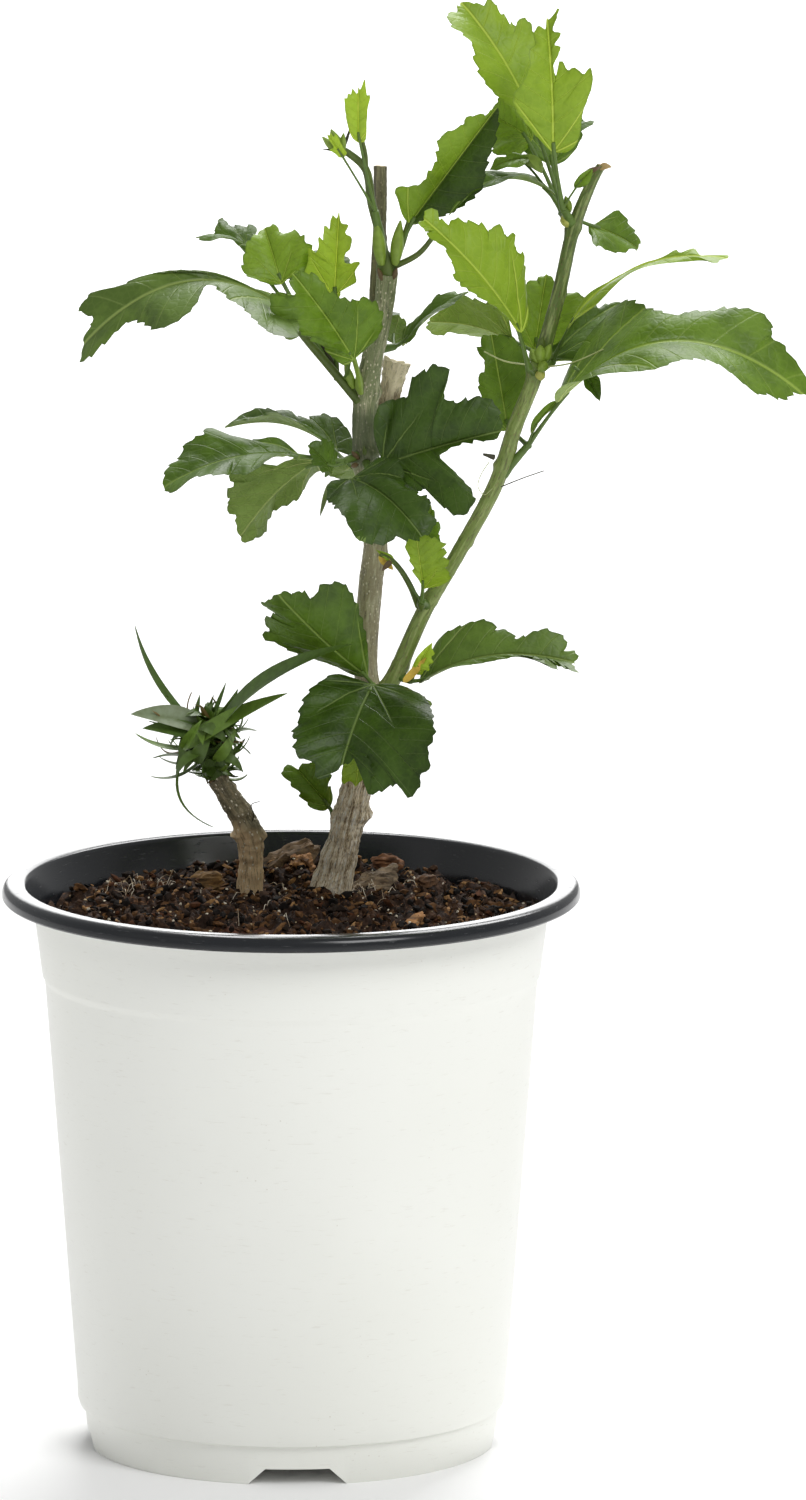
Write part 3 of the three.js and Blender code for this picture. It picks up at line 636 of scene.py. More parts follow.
def makeChips():
    made = []
    for i, chip in enumerate(barkChips):
        deselect()
        bpy.ops.mesh.primitive_cube_add(size=1)
        piece = bpy.context.object
        piece.name = f"bark_chip_{i}"
        editing(True)
        bpy.ops.transform.resize(value=tuple(side * mm for side in chip["size"]))
        bpy.ops.mesh.subdivide(number_cuts=chipWear["cuts"])
        bpy.ops.transform.vertex_random(offset=chipWear["shake"] * mm, seed=i + 3)
        editing(False)
        for vertex in piece.data.vertices:
            end = abs(vertex.co.x) / (chip["size"][0] * mm / 2)
            vertex.co.yz = vertex.co.yz * (1 - chipWear["taper"] * end ** 3)
            vertex.co += vertex.co.normalized() * noise.noise(vertex.co * 420) * chipWear["dent"] * mm
        heading, rise = (math.radians(angle) for angle in chip["turn"])
        piece.data.transform(Matrix.Rotation(-rise, 4, "Y"))
        piece.data.transform(Matrix.Rotation(heading, 4, "Z"))
        piece.data.transform(Matrix.Translation(Vector(chip["at"]) * mm))
        pick(piece)
        smoothing = piece.modifiers.new("soften", "SUBSURF")
        smoothing.levels = smoothing.render_levels = 1
        bpy.ops.object.modifier_apply(modifier="soften")
        # Torn fibres run along the chip, less deep on a thin one.
        thick = chip["size"][2] / barkChips[0]["size"][2]
        for vertex, normal in zip(piece.data.vertices, [v.normal.copy() for v in piece.data.vertices]):
            local = Matrix.Rotation(-heading, 3, "Z") @ (vertex.co - Vector(chip["at"]) * mm) * 1000
            tear = noise.noise(Vector((local.x * 0.22, local.y * 1.6, local.z * 1.6)))
            step = noise.noise(Vector((local.x * 0.6, local.y * 0.5, local.z * 0.5 + 9)))
            vertex.co += normal * (tear * chipWear["torn"] + step * chipWear["stepped"]) * thick * mm
        bpy.ops.object.shade_smooth_by_angle(angle=math.radians(chipWear["smoothUnder"]))
        piece.data.materials.append(chipLook(f"chipWood_{i}", chip["colour"]))
        made.append(piece)
    return made


# Fine root and bark fibres on the mix. A patch is where they lie, how far they spread and how many
# there are. They clear the mix by clear, rise by up to arch, and turn by up to bend.
fibres = {
    "patches": [(-33, 22, 7, 26), (17, 20, 7, 20), (0, -8, 38, 14)], "inset": 3,
    "length": (3.0, 8.0), "clear": 0.4, "arch": 1.6, "bend": 60, "steps": 7, "radius": 0.07, "seed": 21,
}


def makeFibres():
    random.seed(fibres["seed"])
    sheets = Sheets()
    for middleX, middleY, spread, count in fibres["patches"]:
        for _ in range(count):
            x = middleX + random.gauss(0, 0.5) * spread
            y = middleY + random.gauss(0, 0.5) * spread
            if math.hypot(x, y) > mix["edge"] - fibres["inset"]:
                continue
            heading, bend = random.random() * 360, random.uniform(-fibres["bend"], fibres["bend"])
            length, steps = random.uniform(*fibres["length"]), fibres["steps"]
            middles = []
            for i in range(steps + 1):
                rise = fibres["arch"] * math.sin(math.pi * i / steps) * random.random()
                middles.append(Vector((x, y, mixTop(x, y) + fibres["clear"] + rise)))
                step = direction(heading + bend * i / steps, 0) * length / steps
                x, y = x + step.x, y + step.y
            sheets.add(tubeGrid(middles, lambda i, angle: fibres["radius"], 4))
    look = Look("paleFibre", Roughness=0.7)
    share = look.noise(look.place(), 500, 2).between(0.4, 0.6)
    tone = look.blend(share, tint(150, 128, 100), tint(222, 212, 192))
    return sheets.piece("fibres", [look.wear(Base_Color=tone)])


# Limbs

# A limb starts at its foot, or inside another limb at a height, and runs through its route. relief
# is the depth of its furrows, and knobs are nodes and scars: height, heading, size across and depth.
# cutMark marks a cut face in the grain, where a run along the limb is never below 0.
ringStep = 0.45
cutMark = -20
limbs = {
    "trunk": {
        "foot": (7, 18, 113), "sink": 2.5,
        "route": [(10.5, 15, 122.5), (12, 13, 130), (13.5, 11.5, 136), (15.5, 10, 146.5), (17, 9, 154.5)],
        "radii": [4.2, 3.4, 3.2, 3.2, 3.1, 3.1], "sides": 96, "relief": 0.34, "bark": 1,
        "knobs": [(131, 10, 2.4, 1.5), (129, 160, 2.2, 0.6), (142, 30, 2.5, 0.5), (121, 200, 3, 0.5),
                  (149, 200, 2.6, 0.6), (153, -20, 3, 0.7), (115.5, 180, 3, 0.4), (115.5, 0, 3.4, 0.3)],
    },
    "middle_stem": {
        "from": "trunk", "height": 154.5,
        "route": [(15.5, 8.5, 161.5), (16.5, 8, 180), (17.5, 7.5, 189), (15.5, 6, 207.5), (15.5, 6, 218.5),
                  (17, 5.5, 228.5), (19, 5, 237), (20, 4, 246)],
        "radii": [2.5, 2.5, 2.5, 2.5, 2.7, 2.6, 2.2, 2, 2.2], "sides": 64, "relief": 0.12, "bark": 0.4,
        "look": "greyStem",
        "knobs": [(208, -60, 2, 0.9), (206, 170, 2, 0.6), (221, 20, 1.8, 0.7), (220, 180, 1.8, 0.7),
                  (246, -90, 2, 0.6), (231, 60, 2, 0.5), (186, 0, 1.6, 0.4), (170, 190, 1.6, 0.3)],
    },
    "right_stem": {
        "from": "trunk", "height": 154.5,
        "route": [(21, 7.5, 160), (27.5, 5.5, 174.5), (34.5, 3.5, 187), (42.5, 1, 202.5), (46.5, -0.5, 215),
                  (50.5, -2, 225.5), (55, -3, 241.5), (58.5, -4, 257), (62.5, -4, 267), (64, -4, 269.5)],
        "radii": [2, 1.8, 1.65, 1.55, 1.6, 1.6, 1.6, 1.45, 1.4, 1.1, 0.95], "sides": 56, "relief": 0.08,
        "bark": 0.2, "look": "greenStem",
        "knobs": [(177, 180, 1.5, 0.6), (190, 0, 1.3, 0.4), (206, 190, 1.3, 0.5), (210, 20, 1.3, 0.3),
                  (228, -90, 2.4, 0.9), (230, 20, 2, 0.8), (226, 180, 1.8, 0.7), (257, -60, 1.8, 0.7),
                  (256, 160, 1.6, 0.5), (243, 20, 1.2, 0.3), (163, 0, 1.8, 0.5)],
    },
    "middle_stub": {
        "from": "middle_stem", "height": 208,
        "route": [(20, 10.5, 217), (21, 11.5, 222), (22, 12, 226)],
        "radii": [2.2, 2.2, 2.3, 2.8], "sides": 64, "relief": 0.5, "bark": 0.9, "look": "stubBark",
        "knobs": [(222, -60, 1.8, 0.4)],
    },
    "top_stub": {
        "from": "middle_stem", "height": 231,
        "route": [(17.5, 9, 238.5), (18.5, 11, 257.5), (18.5, 12, 267)],
        "radii": [1.3, 1.35, 1.35, 1.4], "sides": 48, "relief": 0.1, "bark": 0.4, "look": "oliveStem",
        "knobs": [(252, 0, 1.2, 0.4)],
    },
    "small_stem": {
        "foot": (-9, 18.5, 113), "sink": 2.5,
        "route": [(-8.5, 16.5, 120), (-9, 14.5, 126.5), (-11, 13.5, 131), (-13.5, 12.5, 135),
                  (-15.5, 12, 138.5)],
        "radii": [2.8, 2.5, 2.8, 2.5, 2.2, 2.3], "sides": 72, "relief": 0.42, "bark": 0.4,
        "look": "scarredStem",
        "knobs": [(126.5, 180, 1.6, 1), (125.4, -10, 1.2, 0.9), (123.6, -60, 1, 0.5), (128, -90, 1.2, 0.5),
                  (131, -60, 1.4, 0.6), (121.6, -100, 1.2, 0.5), (118, -80, 1.6, 0.4), (135.5, 20, 1, 0.5),
                  (133, 200, 1.2, 0.4)],
    },
}


def limbPoints(name):
    settings = limbs[name]
    if "foot" in settings:
        start = Vector(settings["foot"])
    else:
        start = limbPoint(settings["from"], settings["height"])
    return [start] + [Vector(point) for point in settings["route"]]


def limbPoint(name, height):
    points = limbPoints(name)
    low, high = 0.0, len(points) - 1.0
    for _ in range(24):
        middle = (low + high) / 2
        if alongRoute(points, middle).z < height:
            low = middle
        else:
            high = middle
    return alongRoute(points, high)


def makeLimb(name):
    settings = limbs[name]
    sides, relief = settings["sides"], settings["relief"]
    points = limbPoints(name)
    if "sink" in settings:
        points[0] = points[0] - Vector((0, 0, settings["sink"]))
    length = sum((b - a).length for a, b in zip(points, points[1:]))
    count = int(length / ringStep)
    places = [i / count * (len(points) - 1) for i in range(count + 1)]
    middles = [alongRoute(points, place) for place in places]
    seed = sum(map(ord, name)) * 0.37
    knobs = [(height, direction(heading, 0), size, deep) for height, heading, size, deep in settings["knobs"]]
    run = 0
    rows, grains = [], []
    for i, (tangent, side, up) in enumerate(framesAlong(middles)):
        middle = middles[i]
        run += (middle - middles[max(0, i - 1)]).length
        k = min(int(places[i]), len(points) - 2)
        radius = mixed(settings["radii"][k], settings["radii"][k + 1], places[i] - k)
        ring, grainRing = [], []
        for angle in ringAngles(sides):
            out = side * math.cos(angle) + up * math.sin(angle)
            grain = Vector((math.cos(angle) * radius, math.sin(angle) * radius, run))
            streak = Vector((grain.x * 1.1 + seed, grain.y * 1.1, grain.z * 0.16))
            ridge = noise.noise(streak) + 0.5 * noise.noise(streak * 2.3)
            crease = noise.noise(Vector((grain.x * 0.5, grain.y * 0.5 + seed, grain.z * 0.9)))
            lift = relief * (ridge * settings["bark"] + crease * 0.6)
            lift += relief * 0.35 * noise.noise(grain * 2.6 + Vector((seed, 0, 0)))
            for height, facing, size, deep in knobs:
                away = (middle.z - height) / size
                if abs(away) < 2.5:
                    lift += deep * math.exp(-away * away * 2) * max(0, out.dot(facing)) ** 3
                    lift += 0.12 * deep * math.exp(-away * away * 14)
            ragged = relief * 1.8 * noise.noise(grain * 0.9) if i == count else 0
            ring.append(middle + out * (radius + lift) + tangent * ragged)
            grainRing.append(grain)
        rows.append(ring)
        grains.append(grainRing)
    # The cut end: a slightly sunken face inside a ragged rim.
    for share, drop in ((0.86, 0.05), (0.5, -0.15), (0.0, -0.2)):
        rows.append([middle + (point - middle) * share + tangent * drop for point in rows[count]])
        grains.append([Vector((g.x * share, g.y * share, cutMark)) for g in grains[count]])
    rows.insert(0, [middles[0]] * (sides + 1))
    grains.insert(0, grains[0])
    sheets = Sheets()
    sheets.add(rows, grain=grains)
    skin = trunkBark() if name == "trunk" else stemLook(settings["look"], **stemSkins[settings["look"]])
    return sheets.piece(name + "_bark", [skin], 60)


def trunkBark():
    look = Look("trunkBark", Roughness=0.85)
    grain = look.own("grain")
    streak = look.noise(look.stretched(grain, 1, 1, 0.12), 1.6, 4, 0.6)
    fine = look.noise(look.stretched(grain, 1, 1, 0.3), 5, 3, 0.6)
    patch = look.noise(grain, 0.35, 3)
    crack = look.noise(look.stretched(grain, 1, 1, 0.09), 3.4, 3, 0.7)
    tone = look.ramp(
        streak * 0.5 + fine * 0.3 + crack * 0.2,
        (0.38, tint(112, 92, 64)), (0.6, tint(255, 252, 238)),
        (0.46, tint(204, 184, 148)), (0.52, tint(246, 232, 202)))
    tone = look.blend(patch.between(0.52, 0.68) * 0.2, tone, tint(140, 124, 98))
    tone = look.blend(crack.between(0.58, 0.64) * 0.7, tone, tint(88, 70, 46))
    height = streak * 1.2 + fine * 0.7 - crack * 0.9
    return look.wear(Base_Color=tone, Roughness=0.9 - fine * 0.15, Normal=look.bump(height, 1.0, 0.0007))


# The stems' skins: low and high are the colours below and above the change, which runs from one height
# to another. pale is for the streaks along the stem, speck for its small specks, and cut for a cut
# face. band is a darker stretch: its height, its reach and its colour.
stemSkins = {
    "greyStem": {"low": (146, 138, 108), "high": (122, 130, 90), "change": (192, 214),
                 "pale": (182, 178, 146), "speck": (214, 206, 178), "cut": (190, 168, 128),
                 "lenticels": 1.2, "band": (211, 8, (72, 82, 52))},
    "greenStem": {"low": (118, 136, 66), "high": (86, 106, 44), "change": (222, 232),
                  "pale": (174, 186, 120), "speck": (128, 104, 70), "cut": (150, 122, 82),
                  "lenticels": 0.5, "roughness": 0.5, "streaks": 0.4},
    "stubBark": {"low": (122, 106, 80), "high": (240, 226, 198), "change": (220, 223.5),
                 "pale": (198, 184, 156), "speck": (104, 84, 60), "cut": (222, 208, 176),
                 "lenticels": 0.3, "roughness": 0.8, "streaks": 0.35},
    "oliveStem": {"low": (100, 98, 66), "high": (98, 94, 68), "change": (240, 260),
                  "pale": (136, 130, 98), "speck": (156, 144, 114), "cut": (196, 172, 128),
                  "lenticels": 0.6},
    "scarredStem": {"low": (210, 182, 138), "high": (108, 100, 74), "change": (121, 128),
                    "pale": (186, 168, 132), "speck": (232, 222, 196), "cut": (160, 132, 92),
                    "lenticels": 1.4, "roughness": 0.75, "streaks": 0.35},
}


def stemLook(name, low, high, change, pale, speck, cut, lenticels, roughness=0.6, streaks=0.7, band=None):
    look = Look(name, Roughness=roughness)
    grain = look.own("grain")
    run = look.parts(grain)[2]
    z = look.parts(look.place())[2]
    uneven = z + look.noise(look.place(), 60, 2) * 0.03
    rising = uneven.between(change[0] * mm + 0.015, change[1] * mm + 0.015)
    tone = look.blend(rising, tint(*low), tint(*high))
    streak = look.noise(look.stretched(grain, 1, 1, 0.1), 1.5, 4, 0.6)
    tone = look.blend(streak.between(0.48, 0.62) * streaks, tone, tint(*pale))
    dark = look.noise(look.stretched(grain, 1, 1, 0.14), 1.9, 3, 0.7).between(0.53, 0.64)
    tone = look.blend(dark * 0.5, tone, tint(50, 42, 28))
    dots = look.cells(look.stretched(grain, 1, 1, 0.6), 1.3).between(0.26, 0.16)
    tone = look.blend(dots * 0.8 * lenticels, tone, tint(*speck))
    mottle = look.noise(grain, 2.4, 3, 0.7)
    tone = look.blend(mottle.between(0.5, 0.75) * 0.3, tone, tint(*speck))
    if band:
        height, reach, colour = band
        away = (z - height * mm).size()
        tone = look.blend((1 - away.between(reach * 0.5 * mm, reach * mm)) * 0.75, tone, tint(*colour))
    # The run is cutMark on a cut face.
    tone = look.blend((run * -1).between(10, 12), tone, tint(*cut))
    height = streak + dots * lenticels * 0.8 + mottle * 0.4
    return look.wear(Base_Color=tone, Roughness=roughness + mottle * 0.2 - 0.1,
                     Normal=look.bump(height, 0.6, 0.0004))


# Leaves

# rowStep, tooth, thickness and bite are in millimetres, and ribs are the side ribs' angles off the
# midrib. edge is half a blade's edge: how far out, how far along, and how much of a notch it is. wedge
# narrows it to the foot.
blade = {
    "thickness": 0.34, "columns": 6, "rowStep": 0.62, "fewestRows": 26, "mostRows": 104,
    "fold": 12, "arch": 0.08, "tooth": 2.7, "bite": 1.15, "wave": 0.05, "quilt": 0.014, "veins": 7,
    "ribs": [0, 34, 66, 100], "bulge": 0.028, "lobing": 0.5, "wedge": 0.3,
    "edge": [(0.45, 0.05, 0), (0.84, 0.2, 0), (0.86, 0.32, 0.1), (1, 0.45, 0), (0.84, 0.56, 0.3),
             (0.76, 0.66, 0), (0.6, 0.74, 0.15), (0.42, 0.88, 0)],
}

twigRadius = (1.1, 0.75)
stalkRadius = 0.5


def span(foot, tip, width, facing, **more):
    # The values of a leaf or a strap: where its blade starts and ends, its width, and the way its
    # upper face looks.
    return {"foot": foot, "tip": tip, "width": width, "facing": facing, **more}


# A shoot grows from a limb at a height: the tips of its twigs, then its leaves. arch is a share of a
# leaf's length, fold lifts its halves, twist turns it along its length, bite is the depth of its teeth,
# and age picks its green. left and right are its halves' own edges, in hundredths: how far out against
# half the width, and how far along. end is where the midrib ends, joins is how far out on the twig the
# stalk starts, and start is a place of its own for that.
shoots = {
    "low_shoot": {"on": "trunk", "height": 129, "twigs": [(8.5, 17, 130)], "leaves": [
        span((8, 17.5, 131), (-0.5, 17, 141), 15, (-90, 20), age="bright", end=0.84, left=[
            (20, 3), (37, 15), (40, 35), (38, 60), (40, 86), (34, 94), (20, 96), (10, 91),
        ], right=[(25, 9), (35, 34), (63, 51), (67, 62), (38, 73), (22, 82), (5, 77)]),
    ]},
    "fork_front": {"on": "trunk", "height": 153, "twigs": [(17, 2.5, 159.5)], "leaves": [
        span((17, 1, 160), (9, -20, 140), 27, (-100, 45), arch=0.1, age="dark", end=0.76, left=[
            (46, -1), (70, 4), (93, 11), (114, 25), (134, 47), (142, 61), (137, 65), (147, 80), (133, 80),
            (134, 88), (125, 95), (112, 91), (98, 86), (78, 92), (60, 97), (60, 86), (50, 76), (36, 70),
            (20, 70), (8, 74),
        ], right=[
            (43, 1), (72, 16), (87, 40), (84, 52), (84, 66), (74, 70), (72, 78), (60, 83), (40, 82), (30, 90),
            (16, 84),
        ]),
        span((16, 2, 161.5), (-3.5, -9, 182), 25, (-115, 0), arch=0.05, fold=-28, end=0.95, left=[
            (31, 7), (51, 21), (75, 33), (92, 50), (100, 58), (116, 63), (88, 66), (88, 72), (46, 78),
            (54, 89), (20, 93),
        ], right=[
            (26, 11), (53, 25), (68, 38), (85, 60), (86, 67), (76, 74), (64, 78), (43, 77), (34, 87),
            (20, 87), (10, 92),
        ]),
        span((15.5, -4, 156), (13.4, -7, 140), 8, (-90, 15), age="fresh", bite=0.3,
             left=[(30, 10), (60, 40), (90, 70), (80, 92), (40, 88)],
             right=[(30, 10), (60, 40), (80, 75), (70, 98), (30, 93)]),
    ]},
    "fork_rear": {"on": "trunk", "height": 151, "twigs": [(17.5, 15, 154)], "leaves": [
        span((17.5, 18, 153), (20, 38, 136), 22, (90, 40), arch=0.12),
    ]},
    "fork_right": {"on": "right_stem", "height": 161, "twigs": [(25, 5.5, 160)], "leaves": [
        # This leaf's greyer green is in part a painted sheen along its fold.
        span((26.5, 5.5, 159.5), (59, -2, 165), 17, (-90, 60), arch=0.14, fold=25, age="sheenGrey", left=[
            (40, 3), (80, 12), (86, 27), (94, 48), (72, 52), (68, 59), (40, 65), (40, 69), (60, 83), (58, 90),
            (50, 95), (30, 92), (26, 101), (10, 97),
        ], right=[(40, 10), (50, 30), (32, 60), (40, 82), (90, 92), (30, 90), (70, 103), (10, 97)]),
        span((25.5, 2.5, 162), (29.3, 1, 169), 6, (-90, 20), age="young", bite=0,
             left=[(30, 10), (40, 40), (25, 75)],
             right=[(50, 10), (55, 30), (90, 36), (60, 48), (85, 58), (50, 68), (60, 82), (20, 88)]),
    ]},
    "mid_left": {"on": "middle_stem", "height": 208, "twigs": [(11, 1, 207)], "leaves": [
        span((2, -4, 209), (-26, -14, 204), 24, (-90, 75), arch=0.1,
             left=[(50, 10), (80, 30), (90, 50), (75, 60), (90, 68), (80, 80), (60, 88), (50, 97)],
             right=[(30, 8), (60, 38), (80, 54), (62, 60), (70, 72), (50, 80), (42, 88), (12, 98)]),
        span((5, 4, 206.5), (-10.5, 8, 190), 25, (90, 55), fold=5, left=[
            (30, 2), (45, 15), (45, 30), (80, 42), (95, 56), (80, 62), (85, 70), (62, 76), (42, 86), (20, 87),
            (15, 95),
        ], right=[(35, 2), (50, 20), (45, 40), (40, 65), (50, 82), (52, 93), (30, 92), (20, 101)]),
        span((9.5, 11, 207.5), (-14, 15, 211.5), 16, (-90, 88), arch=0.15, fold=20, left=[
            (60, 10), (100, 30), (90, 50), (105, 55), (70, 62), (80, 72), (50, 78), (50, 88), (20, 92),
        ], right=[
            (45, -12), (80, -8), (95, 5), (95, 18), (75, 25), (50, 40), (60, 52), (35, 58), (35, 75),
            (30, 92),
        ]),
        span((8.5, -1, 205), (3.5, -3, 211), 9, (-90, 55)),
    ]},
    "mid_front": {"on": "middle_stem", "height": 206.5, "twigs": [(16, -1.5, 205.5)], "leaves": [
        span((12.5, -6, 204.5), (27, -21, 195), 24, (-90, 60), arch=0.12, bulge=0.045, age="dark", left=[
            (50, 5), (60, 30), (36, 55), (37, 68), (33, 75), (43, 84), (30, 88), (34, 97),
        ], right=[
            (50, 2), (85, 20), (100, 38), (114, 52), (116, 62), (122, 72), (122, 84), (100, 89), (75, 95),
            (50, 94), (30, 100),
        ]),
        span((19, -3, 207), (43.5, -9, 215), 31, (-90, 25), arch=0.05, bulge=0.05, age="dark", left=[
            (45, 2), (78, 14), (76, 38), (95, 45), (96, 55), (100, 66), (90, 73), (72, 65), (55, 65),
            (47, 74), (50, 90), (35, 100),
        ], right=[
            (40, 3), (56, 25), (60, 38), (82, 49), (107, 58), (111, 65), (90, 70), (50, 60), (20, 47),
            (7, 62), (6, 80), (10, 93),
        ]),
    ]},
    "mid_rear": {"on": "middle_stem", "height": 205.5, "twigs": [(17, 12, 203.5)], "leaves": [
        span((17, 15, 202.5), (20, 40, 187.5), 22, (90, 60), arch=0.12),
    ]},
    "upper_left": {"on": "middle_stem", "height": 219, "twigs": [(9.5, 5, 224)], "leaves": [
        # This leaf's greyer green is in part a painted sheen on its glossy face.
        span((-1, 2, 238.5), (-42.5, -8, 233), 25, (-90, 62), arch=0.27, fold=8, twist=-20, age="sheenGrey", left=[
            (100, 2), (170, 6), (210, 12), (200, 19), (140, 24), (70, 33), (40, 40), (50, 45), (95, 53),
            (110, 62), (100, 70), (50, 75), (30, 80), (35, 90), (30, 103),
        ], right=[
            (20, 4), (15, 15), (10, 30), (12, 50), (30, 64), (45, 75), (45, 83), (60, 94), (50, 98), (20, 93),
            (10, 99),
        ]),
        span((13, -4, 229), (0.5, -10, 248), 23, (-90, 30), age="bright", joins=0.75, left=[
            (20, 2), (33, 20), (38, 38), (60, 62), (74, 78), (75, 88), (66, 98), (50, 100), (40, 93),
            (25, 87), (15, 94),
        ], right=[
            (35, 3), (62, 10), (82, 20), (85, 32), (78, 41), (60, 46), (45, 53), (26, 73), (30, 84), (16, 94),
        ]),
        span((9, 8, 240), (10, 10, 258), 13, (-90, 10), age="young", bite=0.2, left=[
            (30, 2), (80, 12), (100, 28), (90, 42), (93, 57), (72, 50), (60, 56), (62, 70), (48, 64),
            (44, 83), (30, 77), (20, 95), (8, 90),
        ], right=[
            (18, 2), (22, 12), (68, 20), (62, 33), (78, 43), (28, 41), (28, 52), (42, 58), (45, 70), (24, 75),
            (32, 85), (10, 86),
        ]),
        span((-2, 7, 243), (-5.5, 15, 253.5), 17, (-90, 40), age="spring", left=[
            (25, 2), (60, 8), (82, 22), (78, 43), (70, 54), (50, 72), (30, 82), (14, 93),
        ], right=[
            (15, 2), (36, 13), (65, 7), (80, 28), (95, 38), (80, 46), (76, 62), (60, 77), (36, 77), (28, 91),
            (14, 99),
        ]),
        span((-9, 17, 249.5), (-19, 20, 250.5), 12, (-90, 75), arch=0.15,
             left=[(30, 2), (50, 20), (58, 50), (70, 75), (50, 90)], right=[
                 (70, -5), (95, 0), (80, 28), (62, 42), (62, 55), (88, 70), (60, 72), (30, 70), (12, 68),
                 (8, 90),
             ]),
        span((2.5, 5, 233.5), (-4, 7, 239), 10, (90, 20), left=[(40, 10), (60, 30), (60, 60), (30, 95)],
             right=[(40, 2), (75, 15), (80, 35), (72, 60), (80, 83), (50, 86), (25, 93)]),
        span((7, 20, 237.5), (0, 40, 244.5), 18, (-90, 78)),
    ]},
    "inner_right": {"on": "middle_stem", "height": 229.5, "twigs": [(21.5, 7, 230)], "leaves": [
        span((23, 8, 230), (37, 10, 241), 14, (-90, 85), left=[(25, 10), (35, 40), (30, 80)],
             right=[(50, 10), (100, 40), (40, 90)]),
        span((21, 12, 230), (22.5, 17, 235), 8, (90, 20)),
    ]},
    "inner_rear": {"on": "middle_stem", "height": 228, "twigs": [(16, 13, 228)], "leaves": [
        span((15, 16, 228), (10.5, 38, 232), 20, (-90, 85)),
    ]},
    "top_left": {"on": "middle_stem", "height": 246, "twigs": [(17.5, 0, 259.5), (22, 2, 250)], "leaves": [
        span((14, -2, 274), (14, -3, 287), 6.5, (-90, 10), age="young", end=0.92, bite=0.1, left=[
            (25, 5), (55, 18), (82, 50), (86, 62), (88, 77), (74, 73), (66, 83), (50, 79), (35, 90), (20, 79),
            (8, 80),
        ], right=[(42, 2), (55, 38), (62, 60), (78, 79), (58, 78), (50, 88), (42, 105), (28, 92), (12, 86)]),
        span((11, -2, 271), (7.5, -3, 276), 4, (-90, 10), age="young", bite=0.1,
             left=[(40, 10), (50, 30), (75, 55), (30, 50), (15, 85)],
             right=[(50, 5), (55, 35), (75, 85), (40, 80), (40, 100), (15, 90)]),
        # Its left half takes a lighter green and its right half a dark one: painted light and painted shade
        # for how the light falls across its fold.
        span((24.5, 1, 256.5), (40.5, -8, 279.5), 17, (-90, 10), arch=0.04, fold=30, twig=1, age="dark",
             leftAge="spring", end=1.12, left=[
                 (25, 4), (60, 13), (90, 23), (67, 27), (40, 36), (40, 50), (44, 59), (60, 68), (74, 75),
                 (66, 80), (44, 88), (48, 94), (30, 100), (10, 103),
             ], right=[
                 (15, 4), (56, 26), (85, 44), (100, 64), (88, 70), (67, 81), (57, 91), (42, 99), (20, 107),
             ]),
    ]},
    "low_right": {"on": "right_stem", "height": 176, "twigs": [(27, 1, 177.5)], "leaves": [
        span((27.5, -1, 180.5), (26, -4, 192), 9, (-90, 10), age="fresh",
             left=[(6, 8), (30, 45), (47, 77), (52, 90), (40, 100)], right=[
                 (30, 4), (75, 5), (110, 12), (128, 30), (105, 42), (124, 53), (100, 60), (118, 70), (98, 78),
                 (130, 86), (95, 90), (60, 100), (30, 100),
             ]),
        span((28, 7, 185), (29, 9, 196.5), 8, (-90, 10), age="bright",
             left=[(60, 20), (80, 45), (60, 55), (75, 72), (45, 80), (40, 93)],
             right=[(40, 10), (70, 30), (50, 45), (55, 60), (30, 72), (10, 88)]),
        span((22, 0, 185.5), (17.5, -2, 189), 3, (-90, 30), age="fresh", bite=0,
             left=[(40, 20), (60, 50), (30, 80)], right=[(30, 20), (50, 50), (20, 80)]),
    ]},
    "mid_right_front": {"on": "right_stem", "height": 226, "twigs": [(49, -6, 228)], "leaves": [
        span((47.5, -9, 235.5), (27.5, -15, 260), 21, (-60, 45), arch=0.06, age="fresh", left=[
            (10, 4), (30, 16), (50, 38), (60, 50), (76, 60), (85, 66), (66, 72), (60, 77), (38, 82), (36, 92),
            (14, 92), (20, 101),
        ], right=[
            (20, 0), (60, 10), (85, 22), (105, 33), (96, 40), (112, 50), (96, 50), (103, 61), (82, 61),
            (80, 69), (60, 78), (46, 85), (28, 85), (18, 93), (30, 100), (8, 102),
        ]),
    ]},
    "mid_right_back": {"on": "right_stem", "height": 226.5, "twigs": [(54, 3, 227.5)], "leaves": [
        span((46, 18, 229.5), (28.5, 24, 232.5), 21, (90, 50), age="spring",
             left=[(30, 3), (60, 15), (78, 40), (85, 55), (60, 72), (33, 84), (10, 95)], right=[
                 (40, 5), (80, 25), (90, 45), (125, 62), (120, 70), (95, 78), (65, 86), (75, 98), (55, 103),
                 (25, 102),
             ]),
        span((57, -5, 235.5), (90, -9, 251), 12, (-90, 77), arch=0.17, fold=5, age="fresh", bite=0.15, left=[
            (30, 10), (12, 30), (10, 60), (12, 70), (35, 75), (13, 77), (50, 84), (10, 87), (15, 95),
            (30, 100),
        ], right=[
            (50, 10), (100, 25), (110, 35), (90, 50), (60, 65), (35, 80), (35, 88), (90, 95), (40, 97),
        ]),
        span((53, 16, 225), (70.5, 28, 236.5), 22, (-90, 70), end=0.92,
             left=[(30, 10), (80, 30), (90, 45), (80, 53), (50, 60), (20, 68), (15, 82)],
             right=[(30, 5), (90, 20), (110, 50), (100, 70), (80, 80), (60, 82), (40, 90), (15, 92)]),
        span((50.5, 17, 227.5), (53, 24, 242.5), 16, (-90, 30), age="spring", left=[
            (40, 5), (48, 25), (45, 45), (38, 56), (50, 62), (50, 73), (42, 82), (20, 84), (20, 92), (8, 95),
        ], right=[
            (50, 8), (80, 30), (90, 46), (115, 60), (115, 69), (95, 73), (80, 77), (60, 74), (30, 82),
            (20, 90), (8, 95),
        ]),
    ]},
    "low_side": {"on": "right_stem", "height": 203, "twigs": [(49, 0, 210.5)], "leaves": [
        span((55, -6, 220.5), (105.5, -11, 223), 27, (-90, 68), arch=0.27, fold=10, twist=40, age="bright",
             left=[
                 (100, 0), (135, 6), (145, 16), (130, 26), (100, 34), (75, 42), (62, 50), (72, 56), (72, 64),
